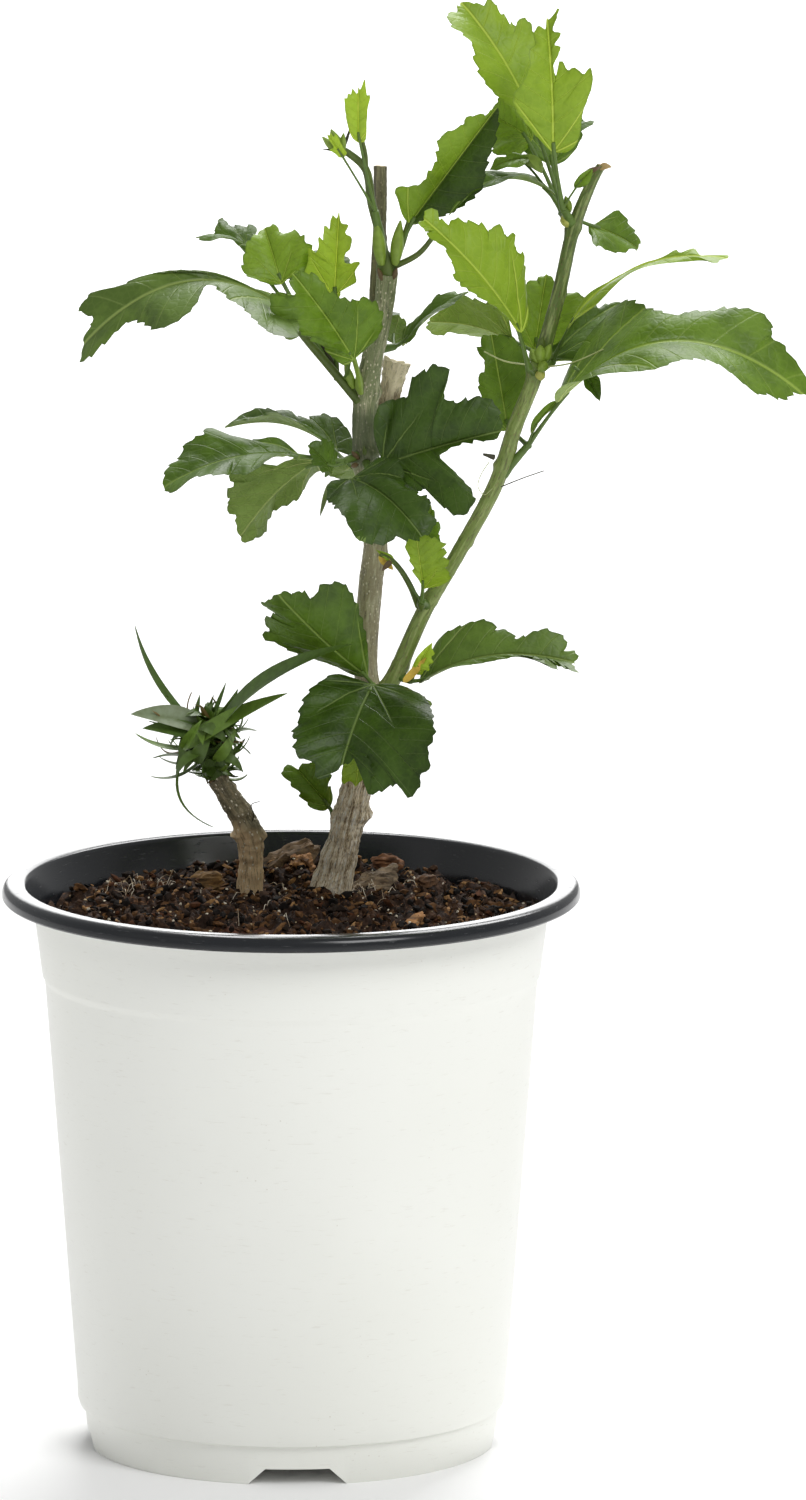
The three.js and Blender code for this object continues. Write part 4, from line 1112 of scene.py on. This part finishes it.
                 (80, 70), (85, 78), (82, 86), (58, 88), (44, 85), (50, 90), (45, 96), (34, 100), (10, 102),
             ], right=[
                 (80, 2), (110, 12), (115, 30), (115, 42), (90, 56), (72, 68), (78, 83), (55, 87), (42, 93),
                 (14, 96),
             ]),
        span((45, 9, 212), (41.5, 10, 232), 13, (-90, 10), age="bright",
             left=[(30, 2), (60, 15), (65, 40), (65, 57), (45, 65), (34, 74), (42, 84), (30, 97)],
             right=[(40, 5), (90, 30), (100, 55), (90, 80), (50, 95)]),
        span((49.5, -3, 213.5), (55, -4, 220.5), 4, (-90, 35), age="bright", bite=0,
             left=[(30, 10), (60, 35), (55, 70), (25, 95)], right=[(5, 20), (12, 50), (25, 80), (10, 97)]),
        span((60.8, -4, 226), (63.8, -6.5, 220.8), 4.5, (-80, 20), start=(59, -3, 227), bite=0,
             left=[(60, 10), (90, 35), (40, 80)], right=[(40, 10), (70, 40), (30, 80)]),
    ]},
    "top_right": {"on": "right_stem", "height": 257, "twigs": [(56, -7, 261)], "leaves": [
        span((54, -9, 273), (52.5, -11, 303), 20, (-80, 0), age="fresh", end=0.95, bite=0.25, left=[
            (15, 5), (50, 20), (80, 35), (86, 46), (66, 55), (47, 66), (44, 75), (30, 77), (30, 84), (20, 90),
            (7, 87),
        ], right=[
            (30, 0), (52, 7), (62, 28), (82, 52), (78, 61), (66, 56), (46, 61), (36, 58), (23, 65), (12, 54),
            (6, 62), (22, 75), (9, 77), (24, 85), (8, 86), (27, 101), (4, 93),
        ]),
        span((51.5, 1, 274), (35, 6, 302), 21, (-60, 45), age="fresh", left=[
            (10, 3), (30, 15), (70, 40), (85, 62), (70, 73), (70, 82), (74, 90), (50, 97), (25, 95),
        ], right=[
            (30, 5), (75, 30), (68, 50), (80, 60), (92, 71), (66, 69), (56, 77), (50, 84), (48, 92), (30, 90),
            (13, 97),
        ]),
        span((58.4, -8, 265.5), (62.2, -8, 269.5), 4, (-90, 15), arch=0.15, age="bright", bite=0,
             left=[(30, 10), (50, 50), (30, 85)], right=[(50, 20), (80, 50), (40, 85)]),
    ]},
    "top_rear": {"on": "right_stem", "height": 256, "twigs": [(56, 3, 258.5)], "leaves": [
        span((54.5, 0, 263), (32.5, -9, 259.8), 14, (-90, 82), arch=0.24, bite=0.1,
             left=[(40, 10), (60, 50), (40, 85)], right=[(30, 10), (40, 50), (30, 85)]),
        span((49.5, -3, 270.8), (41, -5, 268.8), 6, (-90, 50), arch=0.14, age="bright", bite=0.2,
             left=[(50, 10), (90, 40), (70, 70), (30, 90)],
             right=[(30, 10), (50, 30), (30, 55), (60, 75), (20, 90)]),
        span((50, 12, 272.5), (41.5, 15, 277), 13, (-90, 30), age="spring", left=[
            (15, 2), (30, -3), (60, 3), (78, 6), (95, 18), (115, 35), (100, 60), (70, 85),
        ], right=[(30, 10), (60, 40), (62, 70), (60, 95), (35, 104)]),
        span((61.5, 6, 255.5), (72, 11, 249.5), 14, (-90, 50), age="bright", end=0.97, left=[
            (2, 5), (3, 22), (40, 28), (63, 35), (68, 50), (58, 67), (40, 90), (18, 96),
        ], right=[(60, -2), (100, 0), (95, 15), (80, 45), (62, 60), (40, 72), (15, 90)]),
        span((54, 12, 267), (53, 28, 278.5), 18, (-90, 55)),
    ]},
}

# Each age's upper and lower face.
greens = {
    "grown": ((82, 112, 22), (122, 146, 68)),
    "dark": ((58, 84, 14), (112, 136, 64)),
    # This greyer green is in part a painted sheen: the pale glancing reflection on glossy leaves.
    "sheenGrey": ((96, 122, 46), (130, 150, 88)),
    "bright": ((102, 134, 26), (134, 160, 64)),
    "spring": ((124, 156, 34), (144, 170, 68)),
    "fresh": ((138, 168, 38), (152, 180, 70)),
    "young": ((162, 192, 48), (172, 196, 78)),
}
ages = list(greens)


def setting(leaf, name):
    return leaf.get(name, blade[name])


def bladeLength(leaf):
    return (Vector(leaf["tip"]) - Vector(leaf["foot"])).length


def bladePoints(leaf, sides, shares, lifts):
    # Points of a blade, from arrays: side from -1 to 1 across it, share from 0 to 1 along it.
    foot, tip = Vector(leaf["foot"]), Vector(leaf["tip"])
    along = (tip - foot).normalized()
    across = along.cross(direction(*leaf["facing"])).normalized()
    fold = math.radians(setting(leaf, "fold"))
    half = leaf["width"] / 2 * sides
    turn = np.radians(leaf.get("twist", 0) * (shares - 0.5))[..., None]
    along, across, face, foot, tip = (np.array(v) for v in (along, across, across.cross(along), foot, tip))
    turnedAcross = across * np.cos(turn) + np.cross(along, across) * np.sin(turn)
    turnedFace = face * np.cos(turn) + np.cross(along, face) * np.sin(turn)
    bow = setting(leaf, "arch") * bladeLength(leaf) * 4 * shares * (1 - shares)
    return (foot + (tip - foot) * shares[..., None]
            + turnedAcross * (half * math.cos(fold))[..., None]
            + turnedFace * (np.abs(half) * math.sin(fold) + lifts)[..., None]
            + face * bow[..., None])


def bladeCurve(leaf, side):
    # One half's edge in millimetres, out from the midrib and along it, and its run from the foot.
    if side in leaf:
        corners = [(out / 100, along / 100) for out, along in leaf[side]]
    else:
        corners = [(out * (1 - blade["wedge"] * max(0, 1 - along * 2)) * (1 - notch * blade["lobing"]), along)
                   for out, along, notch in blade["edge"]]
    corners = [(0, 0), *corners, (0, leaf.get("end", 1))]
    half, length = leaf["width"] / 2, bladeLength(leaf)
    corners = [Vector((out * half, along * length, 0)) for out, along in corners]
    curve = np.array([alongRoute(corners, i / 10)[:2] for i in range(10 * (len(corners) - 1) + 1)])
    steps = np.hypot(*np.diff(curve, axis=0).T)
    return curve, np.concatenate([[0], np.cumsum(steps)])


def grownShare(leaf):
    # A small leaf is thinner, and so is its stalk.
    return min(1, 0.35 + leaf["width"] / 20)


def toothedEdge(leaf, curve, run, count, chance):
    # The edge at even steps, with teeth that lean to the tip.
    places = np.linspace(0, run[-1], count)
    edge = np.stack([np.interp(places, run, curve[:, i]) for i in (0, 1)], 1)
    way = np.gradient(edge, axis=0)
    way /= np.maximum(1e-6, np.hypot(*way.T))[:, None]
    out = np.stack([way[:, 1], -way[:, 0]], 1)
    teeth = max(4, round(run[-1] / blade["tooth"]))
    place = places / run[-1] * teeth + chance.random() * 0.5
    sizes = np.array([chance.uniform(0.4, 1.1) for _ in range(teeth + 2)])[place.astype(int)]
    phase = place % 1
    size = sizes * np.where(phase < 0.78, phase / 0.78, (1 - phase) / 0.22)
    size *= np.clip((places / run[-1] - 0.15) * 5, 0, 1) * np.clip((run[-1] - places) / 2, 0, 1)
    edge += (out * 0.85 + way * 0.5) * (setting(leaf, "bite") * size)[:, None]
    edge[:, 0] = np.maximum(edge[:, 0], 0)
    edge[0], edge[-1] = curve[0], curve[-1]
    return edge


def leafGrids(leaf, seed):
    # The upper and lower face as grids: rows run from the midrib out to the edge, as the veins do.
    chance = random.Random(seed)
    columns = blade["columns"]
    half, length = leaf["width"] / 2, bladeLength(leaf)
    curves = [bladeCurve(leaf, side) for side in ("left", "right")]
    longest = max(run[-1] for _, run in curves)
    rows = int(min(blade["mostRows"], max(blade["fewestRows"], longest / blade["rowStep"])))
    edges = [toothedEdge(leaf, *curve, rows, chance) for curve in curves]
    forward = np.minimum(*(edge[:, 1] - 0.6 * edge[:, 0] for edge in edges))
    rib = np.maximum(0, np.minimum.accumulate(forward[::-1])[::-1])
    even = np.linspace(0, rib[-1], rows)
    padded = np.concatenate([np.full(3, rib[0]), rib, np.full(3, rib[-1])])
    rib = 0.85 * np.convolve(padded, np.full(7, 1 / 7), "valid") + 0.15 * even
    rib[0], rib[-1] = 0, edges[0][-1, 1]
    shares = np.linspace(0, 1, columns + 1) ** 0.85
    outs = [edge[:, :1] / half * shares for edge in edges]
    runs = [(rib[:, None] * (1 - shares) + edge[:, 1:] * shares) / length for edge in edges]
    sides = np.hstack([-outs[0][:, :0:-1], outs[1]])
    alongs = np.hstack([runs[0][:, :0:-1], runs[1]])
    out = np.abs(np.linspace(-1, 1, 2 * columns + 1))[None, :] * np.ones_like(sides)
    place = np.linspace(0, 1, rows)[:, None] * np.ones_like(sides)
    ends = np.minimum(1, 7 * place) * np.minimum(1, 7 * (1 - place))
    way = np.sign(np.arange(2 * columns + 1) - columns)
    wave = setting(leaf, "wave") * leaf["width"] * out ** 2 * ends * np.sin(
        place * chance.uniform(11, 15) + way * 1.3 + chance.random() * 6)
    quilt = blade["quilt"] * leaf["width"] * ends * np.sin(math.pi * out * 0.95) * np.abs(
        np.sin(math.pi * blade["veins"] * place))
    angle = np.degrees(np.arctan2(np.abs(sides) * half, np.maximum(alongs * length, 0.01)))
    between = np.interp(angle, blade["ribs"], range(len(blade["ribs"]))) % 1
    reach = np.clip(np.hypot(sides * half, alongs * length) / length * 3, 0, 1)
    quilt += setting(leaf, "bulge") * leaf["width"] * ends * reach * np.sin(math.pi * between)
    groove = np.exp(-(out / 0.12) ** 2) * ends
    thick = blade["thickness"] * grownShare(leaf) / 2 * (1 - out ** 4) * np.minimum(1, ends * 4)
    upper = bladePoints(leaf, sides, alongs, wave + quilt - 0.12 * groove + thick)
    lower = bladePoints(leaf, sides, alongs, wave + quilt - 0.2 * groove - thick)
    marks = np.stack([sides * half / length, alongs], -1)
    rim = np.stack([out, np.full_like(out, chance.random()), place], -1)
    return upper, lower, marks, rim


def stalkPoints(start, leaf, count):
    foot = Vector(leaf["foot"])
    out = (foot - start).normalized()
    into = Vector(bladePoints(leaf, np.zeros(1), np.array([2.4 / bladeLength(leaf)]), np.zeros(1))[0])
    first, bend = start - out * 0.6, start.lerp(foot, 0.7)
    shares = [i / (count - 1) for i in range(count)]
    return [first * (1 - t) ** 2 + bend * 2 * t * (1 - t) + into * t * t for t in shares]


def leafLook(name, colour, upper):
    look = Look(name, Specular_IOR_Level=0.32)
    mark = look.node("ShaderNodeUVMap", {"uv_map": "blade"})
    across, along, _ = look.parts(mark)
    across = across.size()
    out, tone, _ = look.parts(look.own("rim"))
    place = look.place()
    midrib = 1 - across.between(0.003, 0.015)
    # The side ribs leave the foot at a slant, and the finer ribs leave them and the midrib.
    sideRib = 0
    rib = ((along - across * 0.8) * 7).fraction()
    for i in (1, 2):
        lean = math.radians(blade["ribs"][i])
        off = across * math.cos(lean) - along * math.sin(lean)
        runs = across * math.sin(lean) + along * math.cos(lean)
        line = (1 - off.size().between(0.002, 0.011)) * (1 - runs.between(0.5 - 0.15 * i, 0.75 - 0.2 * i))
        sideRib = line.larger(sideRib)
        outer = off.between(-0.002, 0.002)
        rib = rib * (1 - outer) + ((runs - off.size() * 0.9) * 8).fraction() * outer
    ribs = (1 - (rib - 0.5).size().between(0.0, 0.05)) * 0.32
    net = look.cells(place, 520, "DISTANCE_TO_EDGE")
    fineNet = 1 - net.between(0.02, 0.14)
    veins = midrib.larger(sideRib).larger(ribs)
    mottle = look.noise(place, 130, 4, 0.6)
    base = tint(*colour)
    depth = min(0.85, 0.36 + base[1])
    deep = shaded(base, depth, depth + 0.04, depth * 0.9)
    pale = shaded(base, 1.7, 1.4, 1.8, (0.09, 0.11, 0.05))
    shade = look.blend(mottle.between(0.36, 0.6) * 0.75 + tone * 0.35, deep, base)
    shade = look.blend(veins * 0.78, shade, pale)
    shade = look.blend(fineNet * 0.05, shade, pale)
    shade = look.blend(out.between(0.9, 1.0) * 0.45, shade, shaded(base, 0.4, 0.45, 0.4))
    height = (net.between(0, 0.2) * 0.12 - veins) if upper else (veins * 1.4 + fineNet * 0.4)
    return look.wear(Base_Color=shade, Roughness=(0.46 if upper else 0.62) + mottle * 0.2 - 0.1,
                     Normal=look.bump(height + mottle, 0.7, 0.0004))


def stalkLook(name, colour):
    look = Look(name, Roughness=0.5)
    base = tint(*colour)
    mottle = look.noise(look.place(), 600, 3)
    tone = look.blend(mottle.between(0.3, 0.7), shaded(base, 0.75, 0.75, 0.6), base)
    return look.wear(Base_Color=tone, Normal=look.bump(mottle, 0.3, 0.0002))


def growShoots():
    leaves, twigs = Sheets(), Sheets()
    count = sum(len(shoot["leaves"]) for shoot in shoots.values())
    cells = math.ceil(math.sqrt(count * 2))
    columns = blade["columns"]
    number = 0
    for shoot in shoots.values():
        root = limbPoint(shoot["on"], shoot["height"])
        tips = [Vector(tip) for tip in shoot["twigs"]]
        for tip in tips:
            swell = lambda i, angle: mixed(*twigRadius, i / 10) * (1 + 0.25 * math.exp(-((i - 2) / 1.2) ** 2))
            twigs.add(tubeGrid(evenPoints(root, tip, 10), swell, 12))
        for leaf in shoot["leaves"]:
            start = Vector(leaf.get("start", root.lerp(tips[leaf.get("twig", 0)], leaf.get("joins", 1))))
            radius = stalkRadius * grownShare(leaf)
            slim = lambda i, angle: radius * (1.35 - 0.5 * math.sin(math.pi * i / 13) - 0.35 * (i / 13) ** 3)
            twigs.add(tubeGrid(stalkPoints(start, leaf, 14), slim, 10))
            upper, lower, marks, rim = leafGrids(leaf, 100 + number)
            age = leaf.get("age", "grown")
            slots = np.full((upper.shape[0] - 1, 2 * columns), ages.index(age) * 2)
            # A left half with a green of its own is painted light on that half.
            slots[:, :columns] = ages.index(leaf.get("leftAge", age)) * 2
            # Each face has its own cell of the map that its colours are baked on.
            spread = max(1.0, np.abs(marks[..., 0]).max() * 2)
            low, high = marks[..., 1].min(), marks[..., 1].max()
            for face, grid in enumerate((upper, lower)):
                row, column = divmod(number * 2 + face, cells)
                atlas = np.stack([
                    (column + 0.5 + marks[..., 0] / spread * 0.9) / cells,
                    (row + 0.04 + (marks[..., 1] - low) / (high - low) * 0.92) / cells], -1)
                leaves.add(grid, (slots + face).ravel(), flip=bool(face), blade=marks, OFBake=atlas, rim=rim)
            number += 1
    looks = []
    for age, (upper, lower) in greens.items():
        looks += [leafLook(age + "Upper", upper, True), leafLook(age + "Under", lower, False)]
    foliage = leaves.piece("leaves", looks, 60)
    wood = twigs.piece("twigs_and_stalks", [stalkLook("stalkGreen", (92, 118, 48))])
    return foliage, wood


# The tuft of narrow leaves on the small stem. A slot picks the green, in the order of tuft["greens"].
tuft = {
    "middle": (-17.5, 11.5, 146), "radii": (5.4, 4.8, 6.6), "neck": (2.2, 3.4), "seed": 11,
    "greens": {"strapGreen": (80, 106, 38), "strapDeep": (76, 104, 34), "strapSilver": (124, 138, 106),
               "strapBrown": (126, 104, 62), "tuftHeart": (86, 98, 44), "strapBright": (102, 132, 46)},
    "collar": {"count": 22, "height": (138, 143), "length": (2.5, 5), "width": (1.2, 2.2),
               "arch": (-0.3, 0.3), "rise": (-30, 60), "slots": (0, 0, 5, 1)},
    "folded": {"count": 70, "length": (4.5, 8), "width": (1.8, 3.2), "arch": (0.1, 0.4), "rise": (-75, 90),
               "outward": 0.45, "slots": (0, 0, 0, 5, 5, 1, 2)},
    "curled": {"count": 44, "length": (5, 10), "width": (0.6, 1.2), "arch": (-0.5, 0.5), "rise": (-70, 70),
               "outward": 0.9, "slots": (1, 0, 5, 0, 3)},
    "straps": [
        span((-19.5, 10, 149), (-32.5, 7, 172), 1.9, (-45, 25), arch=-0.12, slot=1),
        span((-18, 10, 149), (-33.5, 8, 152.5), 5, (-90, 45), arch=0.1, slot=2),
        span((-18, 9.5, 147.5), (-31, 8, 149.5), 3.6, (-90, 35), arch=0.14, slot=1),
        span((-17, 9, 148.5), (-29, 7, 153.6), 1.4, (-90, 60), arch=-0.1, slot=3),
        span((-16, 9, 147), (13, -12, 171), 5, (-90, 55), arch=0.1, slot=1),
        span((-22, 6.5, 145.5), (-0.5, 0, 158.5), 3.6, (-90, 45), arch=0.06, slot=5),
        span((-18, 5.5, 148), (-7.5, 3, 156.5), 3, (-90, 30), arch=-0.08, slot=1),
        span((-19, 6, 150.5), (-13, 4, 147), 2.6, (-90, 35), arch=0.3),
        span((-16, 6, 143), (-11.5, 5, 150), 2.2, (-70, 20), arch=0.3, slot=5),
        span((-20, 6.5, 142.5), (-16.5, 5, 149), 2.8, (-90, 20), arch=0.25),
        span((-18, 6, 145), (-24, 5, 139.5), 2.2, (-110, 40), arch=0.3),
        span((-15.5, 6.5, 144), (-10, 6, 140.5), 2, (-80, 40), arch=0.3),
        span((-20.5, 9, 145), (-32.5, 6, 149), 2, (-90, 70), arch=-0.12, slot=5),
        span((-22, 9.5, 144.5), (-15.5, 2, 129.5), 1.5, (180, -32), arch=0.26),
        span((-22.5, 5.5, 145.5), (-18.5, 4.5, 152), 2.8, (-90, 20), arch=0.2, slot=5, fold=50),
        span((-16, 10, 150), (-11, 8, 158), 1.8, (-60, 20), arch=0.1),
        span((-17, 11, 150), (-13.5, 10, 159), 0.9, (-90, 20), arch=-0.1, slot=1),
        span((-20, 11, 150), (-26, 10, 156.5), 0.8, (-90, 30), arch=-0.2, slot=1),
        span((-20, 12, 151), (-19, 12, 156), 0.9, (-90, 10), slot=1),
        span((-21, 9, 146), (-30, 9, 151), 1.0, (-90, 60), slot=1),
        span((-14, 9, 146), (-7, 8, 149), 1.8, (-90, 70), arch=0.2),
        span((-14.5, 8, 147), (-13, 7, 141.5), 2.8, (-80, 20), arch=0.2),
        span((-13, 9, 143), (-9.5, 8, 147.5), 0.9, (-90, 20), arch=-0.2, slot=1),
        span((-20, 10, 142.5), (-29, 9, 143), 1.2, (-90, 70), arch=0.1),
        span((-19, 9, 142.5), (-29.5, 8, 139.5), 1.2, (-90, 70), arch=-0.2),
        span((-22, 9, 148), (-23, 7, 141.5), 1.6, (-100, 10), arch=0.12),
    ],
}


def strapGrids(leaf, rows=16):
    stops = np.linspace(0, 1, rows)
    across = np.linspace(-1, 1, 5)[None, :]
    bulge = np.sin(math.pi * stops ** 0.75) ** 0.8 + 0.3 * (1 - stops) * np.minimum(1, stops * 20)
    sides = bulge[:, None] * across
    shares = stops[:, None] * np.ones((1, 5))
    thick = 0.16 * (1 - np.abs(across)) * np.ones_like(sides)
    thick[0] = thick[-1] = 0
    leaf = {"fold": 20, **leaf}
    return bladePoints(leaf, sides, shares, thick), bladePoints(leaf, sides, shares, -thick)


def addStrap(sheets, strap, slot):
    upper, lower = strapGrids(strap)
    sheets.add(upper, slot)
    sheets.add(lower, slot, flip=True)


def sized(direct, radii):
    return Vector([a * b for a, b in zip(direct, radii)])


def makeTuft():
    random.seed(tuft["seed"])
    middle = Vector(tuft["middle"])
    sheets = Sheets()
    straps = list(tuft["straps"])
    for settings in (tuft["folded"], tuft["curled"]):
        for _ in range(settings["count"]):
            heading = random.random() * 360
            out = direction(heading, random.triangular(*settings["rise"], 30))
            foot = middle + sized(out, tuft["radii"]) * 0.45
            around = Matrix.Rotation(random.random() * math.tau, 3, out) @ out.orthogonal().normalized()
            aim = (out * settings["outward"] + around + Vector((0, 0, 0.35))).normalized()
            tip = foot + aim * random.uniform(*settings["length"])
            straps.append(drawnStrap(settings, foot, tip, heading))
    root = limbPoints("small_stem")[-1]
    settings = tuft["collar"]
    for i in range(settings["count"]):
        height = random.uniform(*settings["height"])
        out = direction(i * 137.5, random.uniform(*settings["rise"]))
        share = (height - root.z) / (middle.z - root.z)
        foot = root.lerp(middle, share) + direction(i * 137.5, 0) * mixed(*tuft["neck"], share) * 0.9
        straps.append(drawnStrap(settings, foot, foot + out * random.uniform(*settings["length"]), i * 137.5))
    for strap in straps:
        addStrap(sheets, strap, strap.get("slot", 0))
    heart = [[middle + sized(direction(j * 15, rise), tuft["radii"]) * 0.6 for j in range(25)]
             for rise in range(-90, 91, 15)]
    sheets.add(heart, list(tuft["greens"]).index("tuftHeart"))
    neck = evenPoints(root, middle, 8)
    sheets.add(tubeGrid(neck, lambda i, angle: mixed(*tuft["neck"], i / 8), 16), 0)
    return sheets.piece("tuft_straps", [stalkLook(*green) for green in tuft["greens"].items()])


def drawnStrap(settings, foot, tip, heading):
    # A strap whose width, arch and green are drawn. Its face looks back at the tuft's middle.
    return span(tuple(foot), tuple(tip), random.uniform(*settings["width"]), (heading + 180, 60),
                arch=random.uniform(*settings["arch"]), slot=random.choice(settings["slots"]))


# Small things on the shoots: buds and scales as eggs, stipules and withered bits as straps, and
# stalks and hairs as tubes. A bud has its tone, width, foot and tip, and a tube has its tone, the
# radius at each end and its route.
sprigs = {
    "tones": {"stalk": (88, 106, 40), "leaf": (132, 158, 58), "pale": (176, 184, 128),
              "yellow": (190, 192, 100), "orange": (220, 186, 74), "brown": (104, 84, 56),
              "tan": (186, 158, 112), "dark": (58, 56, 34)},
    "buds": [
        ("leaf", 2.6, (51, -3.5, 228), (49.6, -5.5, 231.5)),
        ("leaf", 2.8, (51.5, -4, 228.5), (51.5, -6.5, 232.5)),
        ("leaf", 2.6, (52, -3.5, 228.5), (53.6, -5.5, 232.5)),
        ("leaf", 2.6, (51.5, -4, 227), (52.6, -6.5, 229)),
        ("stalk", 2.2, (50.5, -4, 227), (49.6, -6, 229)),
        ("stalk", 2.2, (51.5, -3, 230), (52, -5, 234)),
        ("yellow", 2.4, (51.5, -3, 225), (51.6, -5, 227.2)),
        ("yellow", 3, (57, -3.5, 257), (56.8, -6, 260)),
        ("leaf", 2, (57.5, -4, 260), (56.6, -6, 263.5)),
        ("stalk", 4.8, (20, 4, 244), (19.8, 2.5, 251)),
        ("leaf", 3, (18.8, 1.5, 248), (17.8, 0.5, 257.5)),
        ("leaf", 3, (21.6, 1.5, 248), (22.7, 0, 257.5)),
        ("brown", 1.3, (19, 2.5, 244.5), (18, 1, 247.5)),
        ("brown", 1.3, (21.2, 2.2, 245), (22, 0.8, 247.5)),
        ("leaf", 2, (13, 3, 222), (11.2, 2, 227.5)),
        ("leaf", 2, (14.3, 2.5, 221), (14, 1.5, 226)),
        ("brown", 1.3, (14, 3.5, 207), (12.6, 1.5, 209)),
        ("brown", 1.2, (13.8, 3, 206), (12.4, 1, 205.8)),
        ("stalk", 1.2, (15.5, 3.5, 207), (15.2, 2.6, 210)),
        ("stalk", 2, (27, 2.5, 175.5), (27, 1, 179)),
        ("leaf", 2.6, (11, -0.5, 271), (8.4, -2, 276.8)),
        ("leaf", 1.8, (10.6, -1, 271.6), (11, -2, 276)),
        ("leaf", 1.8, (9.5, -1, 272), (6.6, -1.5, 275.2)),
    ],
    "straps": [
        span((11, -1, 271.5), (6.4, -1, 272.5), 0.6, (-90, 40), tone="dark"),
        span((11, 0, 272.5), (12.6, 0, 277.5), 0.6, (-90, 10), tone="dark"),
        span((23.2, 1.5, 160.4), (28, 0, 166), 1.5, (-90, 25), arch=-0.14, tone="orange"),
        span((8, -2, 203), (6, -3, 196), 1, (-90, 10), arch=0.15, tone="stalk"),
        span((18.4, -2, 188), (21.2, -2.5, 184.8), 1.8, (-90, 20), arch=-0.2, tone="orange"),
        span((20.8, -2, 186.6), (18.8, -3, 184.6), 1.1, (-90, 20), tone="brown"),
        span((52, -1, 268), (46, -4, 271.5), 3, (-90, 40), arch=0.1, tone="leaf"),
        span((49, -4, 272), (51.5, -5, 268.4), 1.2, (-90, 20), arch=0.1, tone="leaf"),
        span((63.6, -4.5, 269), (66.2, -5, 269.4), 1.6, (-90, 40), arch=0.15, tone="tan"),
        span((60.5, -7, 268), (64, -7, 269.8), 1.2, (-90, 30), arch=0.1, tone="brown"),
    ],
    "tubes": [
        ("stalk", 1.1, 0.7, [(20, 4, 246), (18.5, 3, 254), (16.7, 2, 261), (15.5, 1, 268), (12, 0, 271.5),
                             (9.6, -1, 273)]),
        ("stalk", 0.6, 0.4, [(15.5, 1, 268), (15.4, -0.5, 271.5), (14.4, -2, 276)]),
        ("stalk", 0.7, 0.5, [(20.5, 3, 247), (26.4, 1, 250.4), (30.4, -1, 255.6)]),
        ("stalk", 0.8, 0.6, [(21, 3, 246.5), (22.6, 2, 251), (24.6, 1, 257.5)]),
        ("stalk", 1, 0.7, [(14, 4.5, 219), (8, 3, 226.5), (2, 1.5, 234), (-2, 2, 240)]),
        ("dark", 0.6, 0.45, [(13.5, 5, 219), (9.5, 5, 225), (6, 6, 232), (4, 6, 238)]),
        ("leaf", 0.6, 0.5, [(14.5, 2.5, 221), (14, 0, 225), (12.6, -4, 231)]),
        ("pale", 0.18, 0.14, [(49, -4, 228), (44, -5, 229), (39.9, -5, 231)]),
        ("pale", 0.18, 0.14, [(52.5, -4, 227.5), (58, -5, 228.6), (64.5, -5.5, 231.5)]),
        ("dark", 0.6, 0.25, [(42, 0, 208), (39.8, -1, 208.8)]),
        ("dark", 0.13, 0.11, [(43.5, -1, 202), (48, -2, 204), (52.3, -2.5, 205.6)]),
        ("pale", 0.09, 0.07, [(41, 0, 207), (39.3, -1, 204.5), (38.7, -1, 202), (40, -1, 200.3),
                              (41.6, -1, 201.6)]),
        ("stalk", 0.7, 0.45, [(26.4, 4, 176), (24.8, 1.5, 180.5), (22.6, 0, 184.5), (20.4, -1, 187),
                              (18.4, -2, 188)]),
        ("dark", 0.12, 0.08, [(-8.2, 12, 129), (-7.9, 10, 131), (-8.3, 10, 133), (-6.6, 10, 133.7)]),
    ],
}


def makeSprigs():
    sheets = Sheets()
    tones = list(sprigs["tones"])
    for tone, width, foot, tip in sprigs["buds"]:
        middles = evenPoints(Vector(foot), Vector(tip), 10)
        egg = [math.sin(math.pi * (0.1 + 0.88 * i / 10)) ** 0.8 * (1.05 - 0.35 * i / 10) for i in range(11)]
        swell = lambda i, angle: width / 2 * (egg[i] + 0.06 * math.cos(angle * 3))
        sheets.add(tubeGrid(middles, swell, 14), tones.index(tone))
    for strap in sprigs["straps"]:
        addStrap(sheets, strap, tones.index(strap["tone"]))
    for tone, first, last, route in sprigs["tubes"]:
        points = [Vector(point) for point in route]
        steps = 6 * (len(points) - 1)
        middles = [alongRoute(points, i / 6) for i in range(steps + 1)]
        sheets.add(tubeGrid(middles, lambda i, angle: mixed(first, last, i / steps), 10), tones.index(tone))
    looks = [stalkLook(name + "Tone", colour) for name, colour in sprigs["tones"].items()]
    return sheets.piece("buds_and_sprigs", looks)


setStage()
print("stage set")
potShell = makePot()
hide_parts("pot")
print("pot made")
mixPieces = [makeMix(), makeFibres(), *makeChips()]
mixPieces += [makeLitter(name, settings) for name, settings in litter.items()]
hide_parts("potting_mix")
print("potting mix laid")
limbPieces = [makeLimb(name) for name in limbs]
for name, piece in zip(limbs, limbPieces):
    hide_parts(name)
    "bark" if name in ("trunk", "middle_stub", "top_stub") else "green_stem"
print("limbs grown")
foliage, wood = growShoots()
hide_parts(*shoots)
buds = makeSprigs()
tuftStraps = makeTuft()
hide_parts("tuft")
print("leaves grown")
for piece in [potShell, *mixPieces, *limbPieces, foliage, wood, buds, tuftStraps]:
    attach(piece, "root")
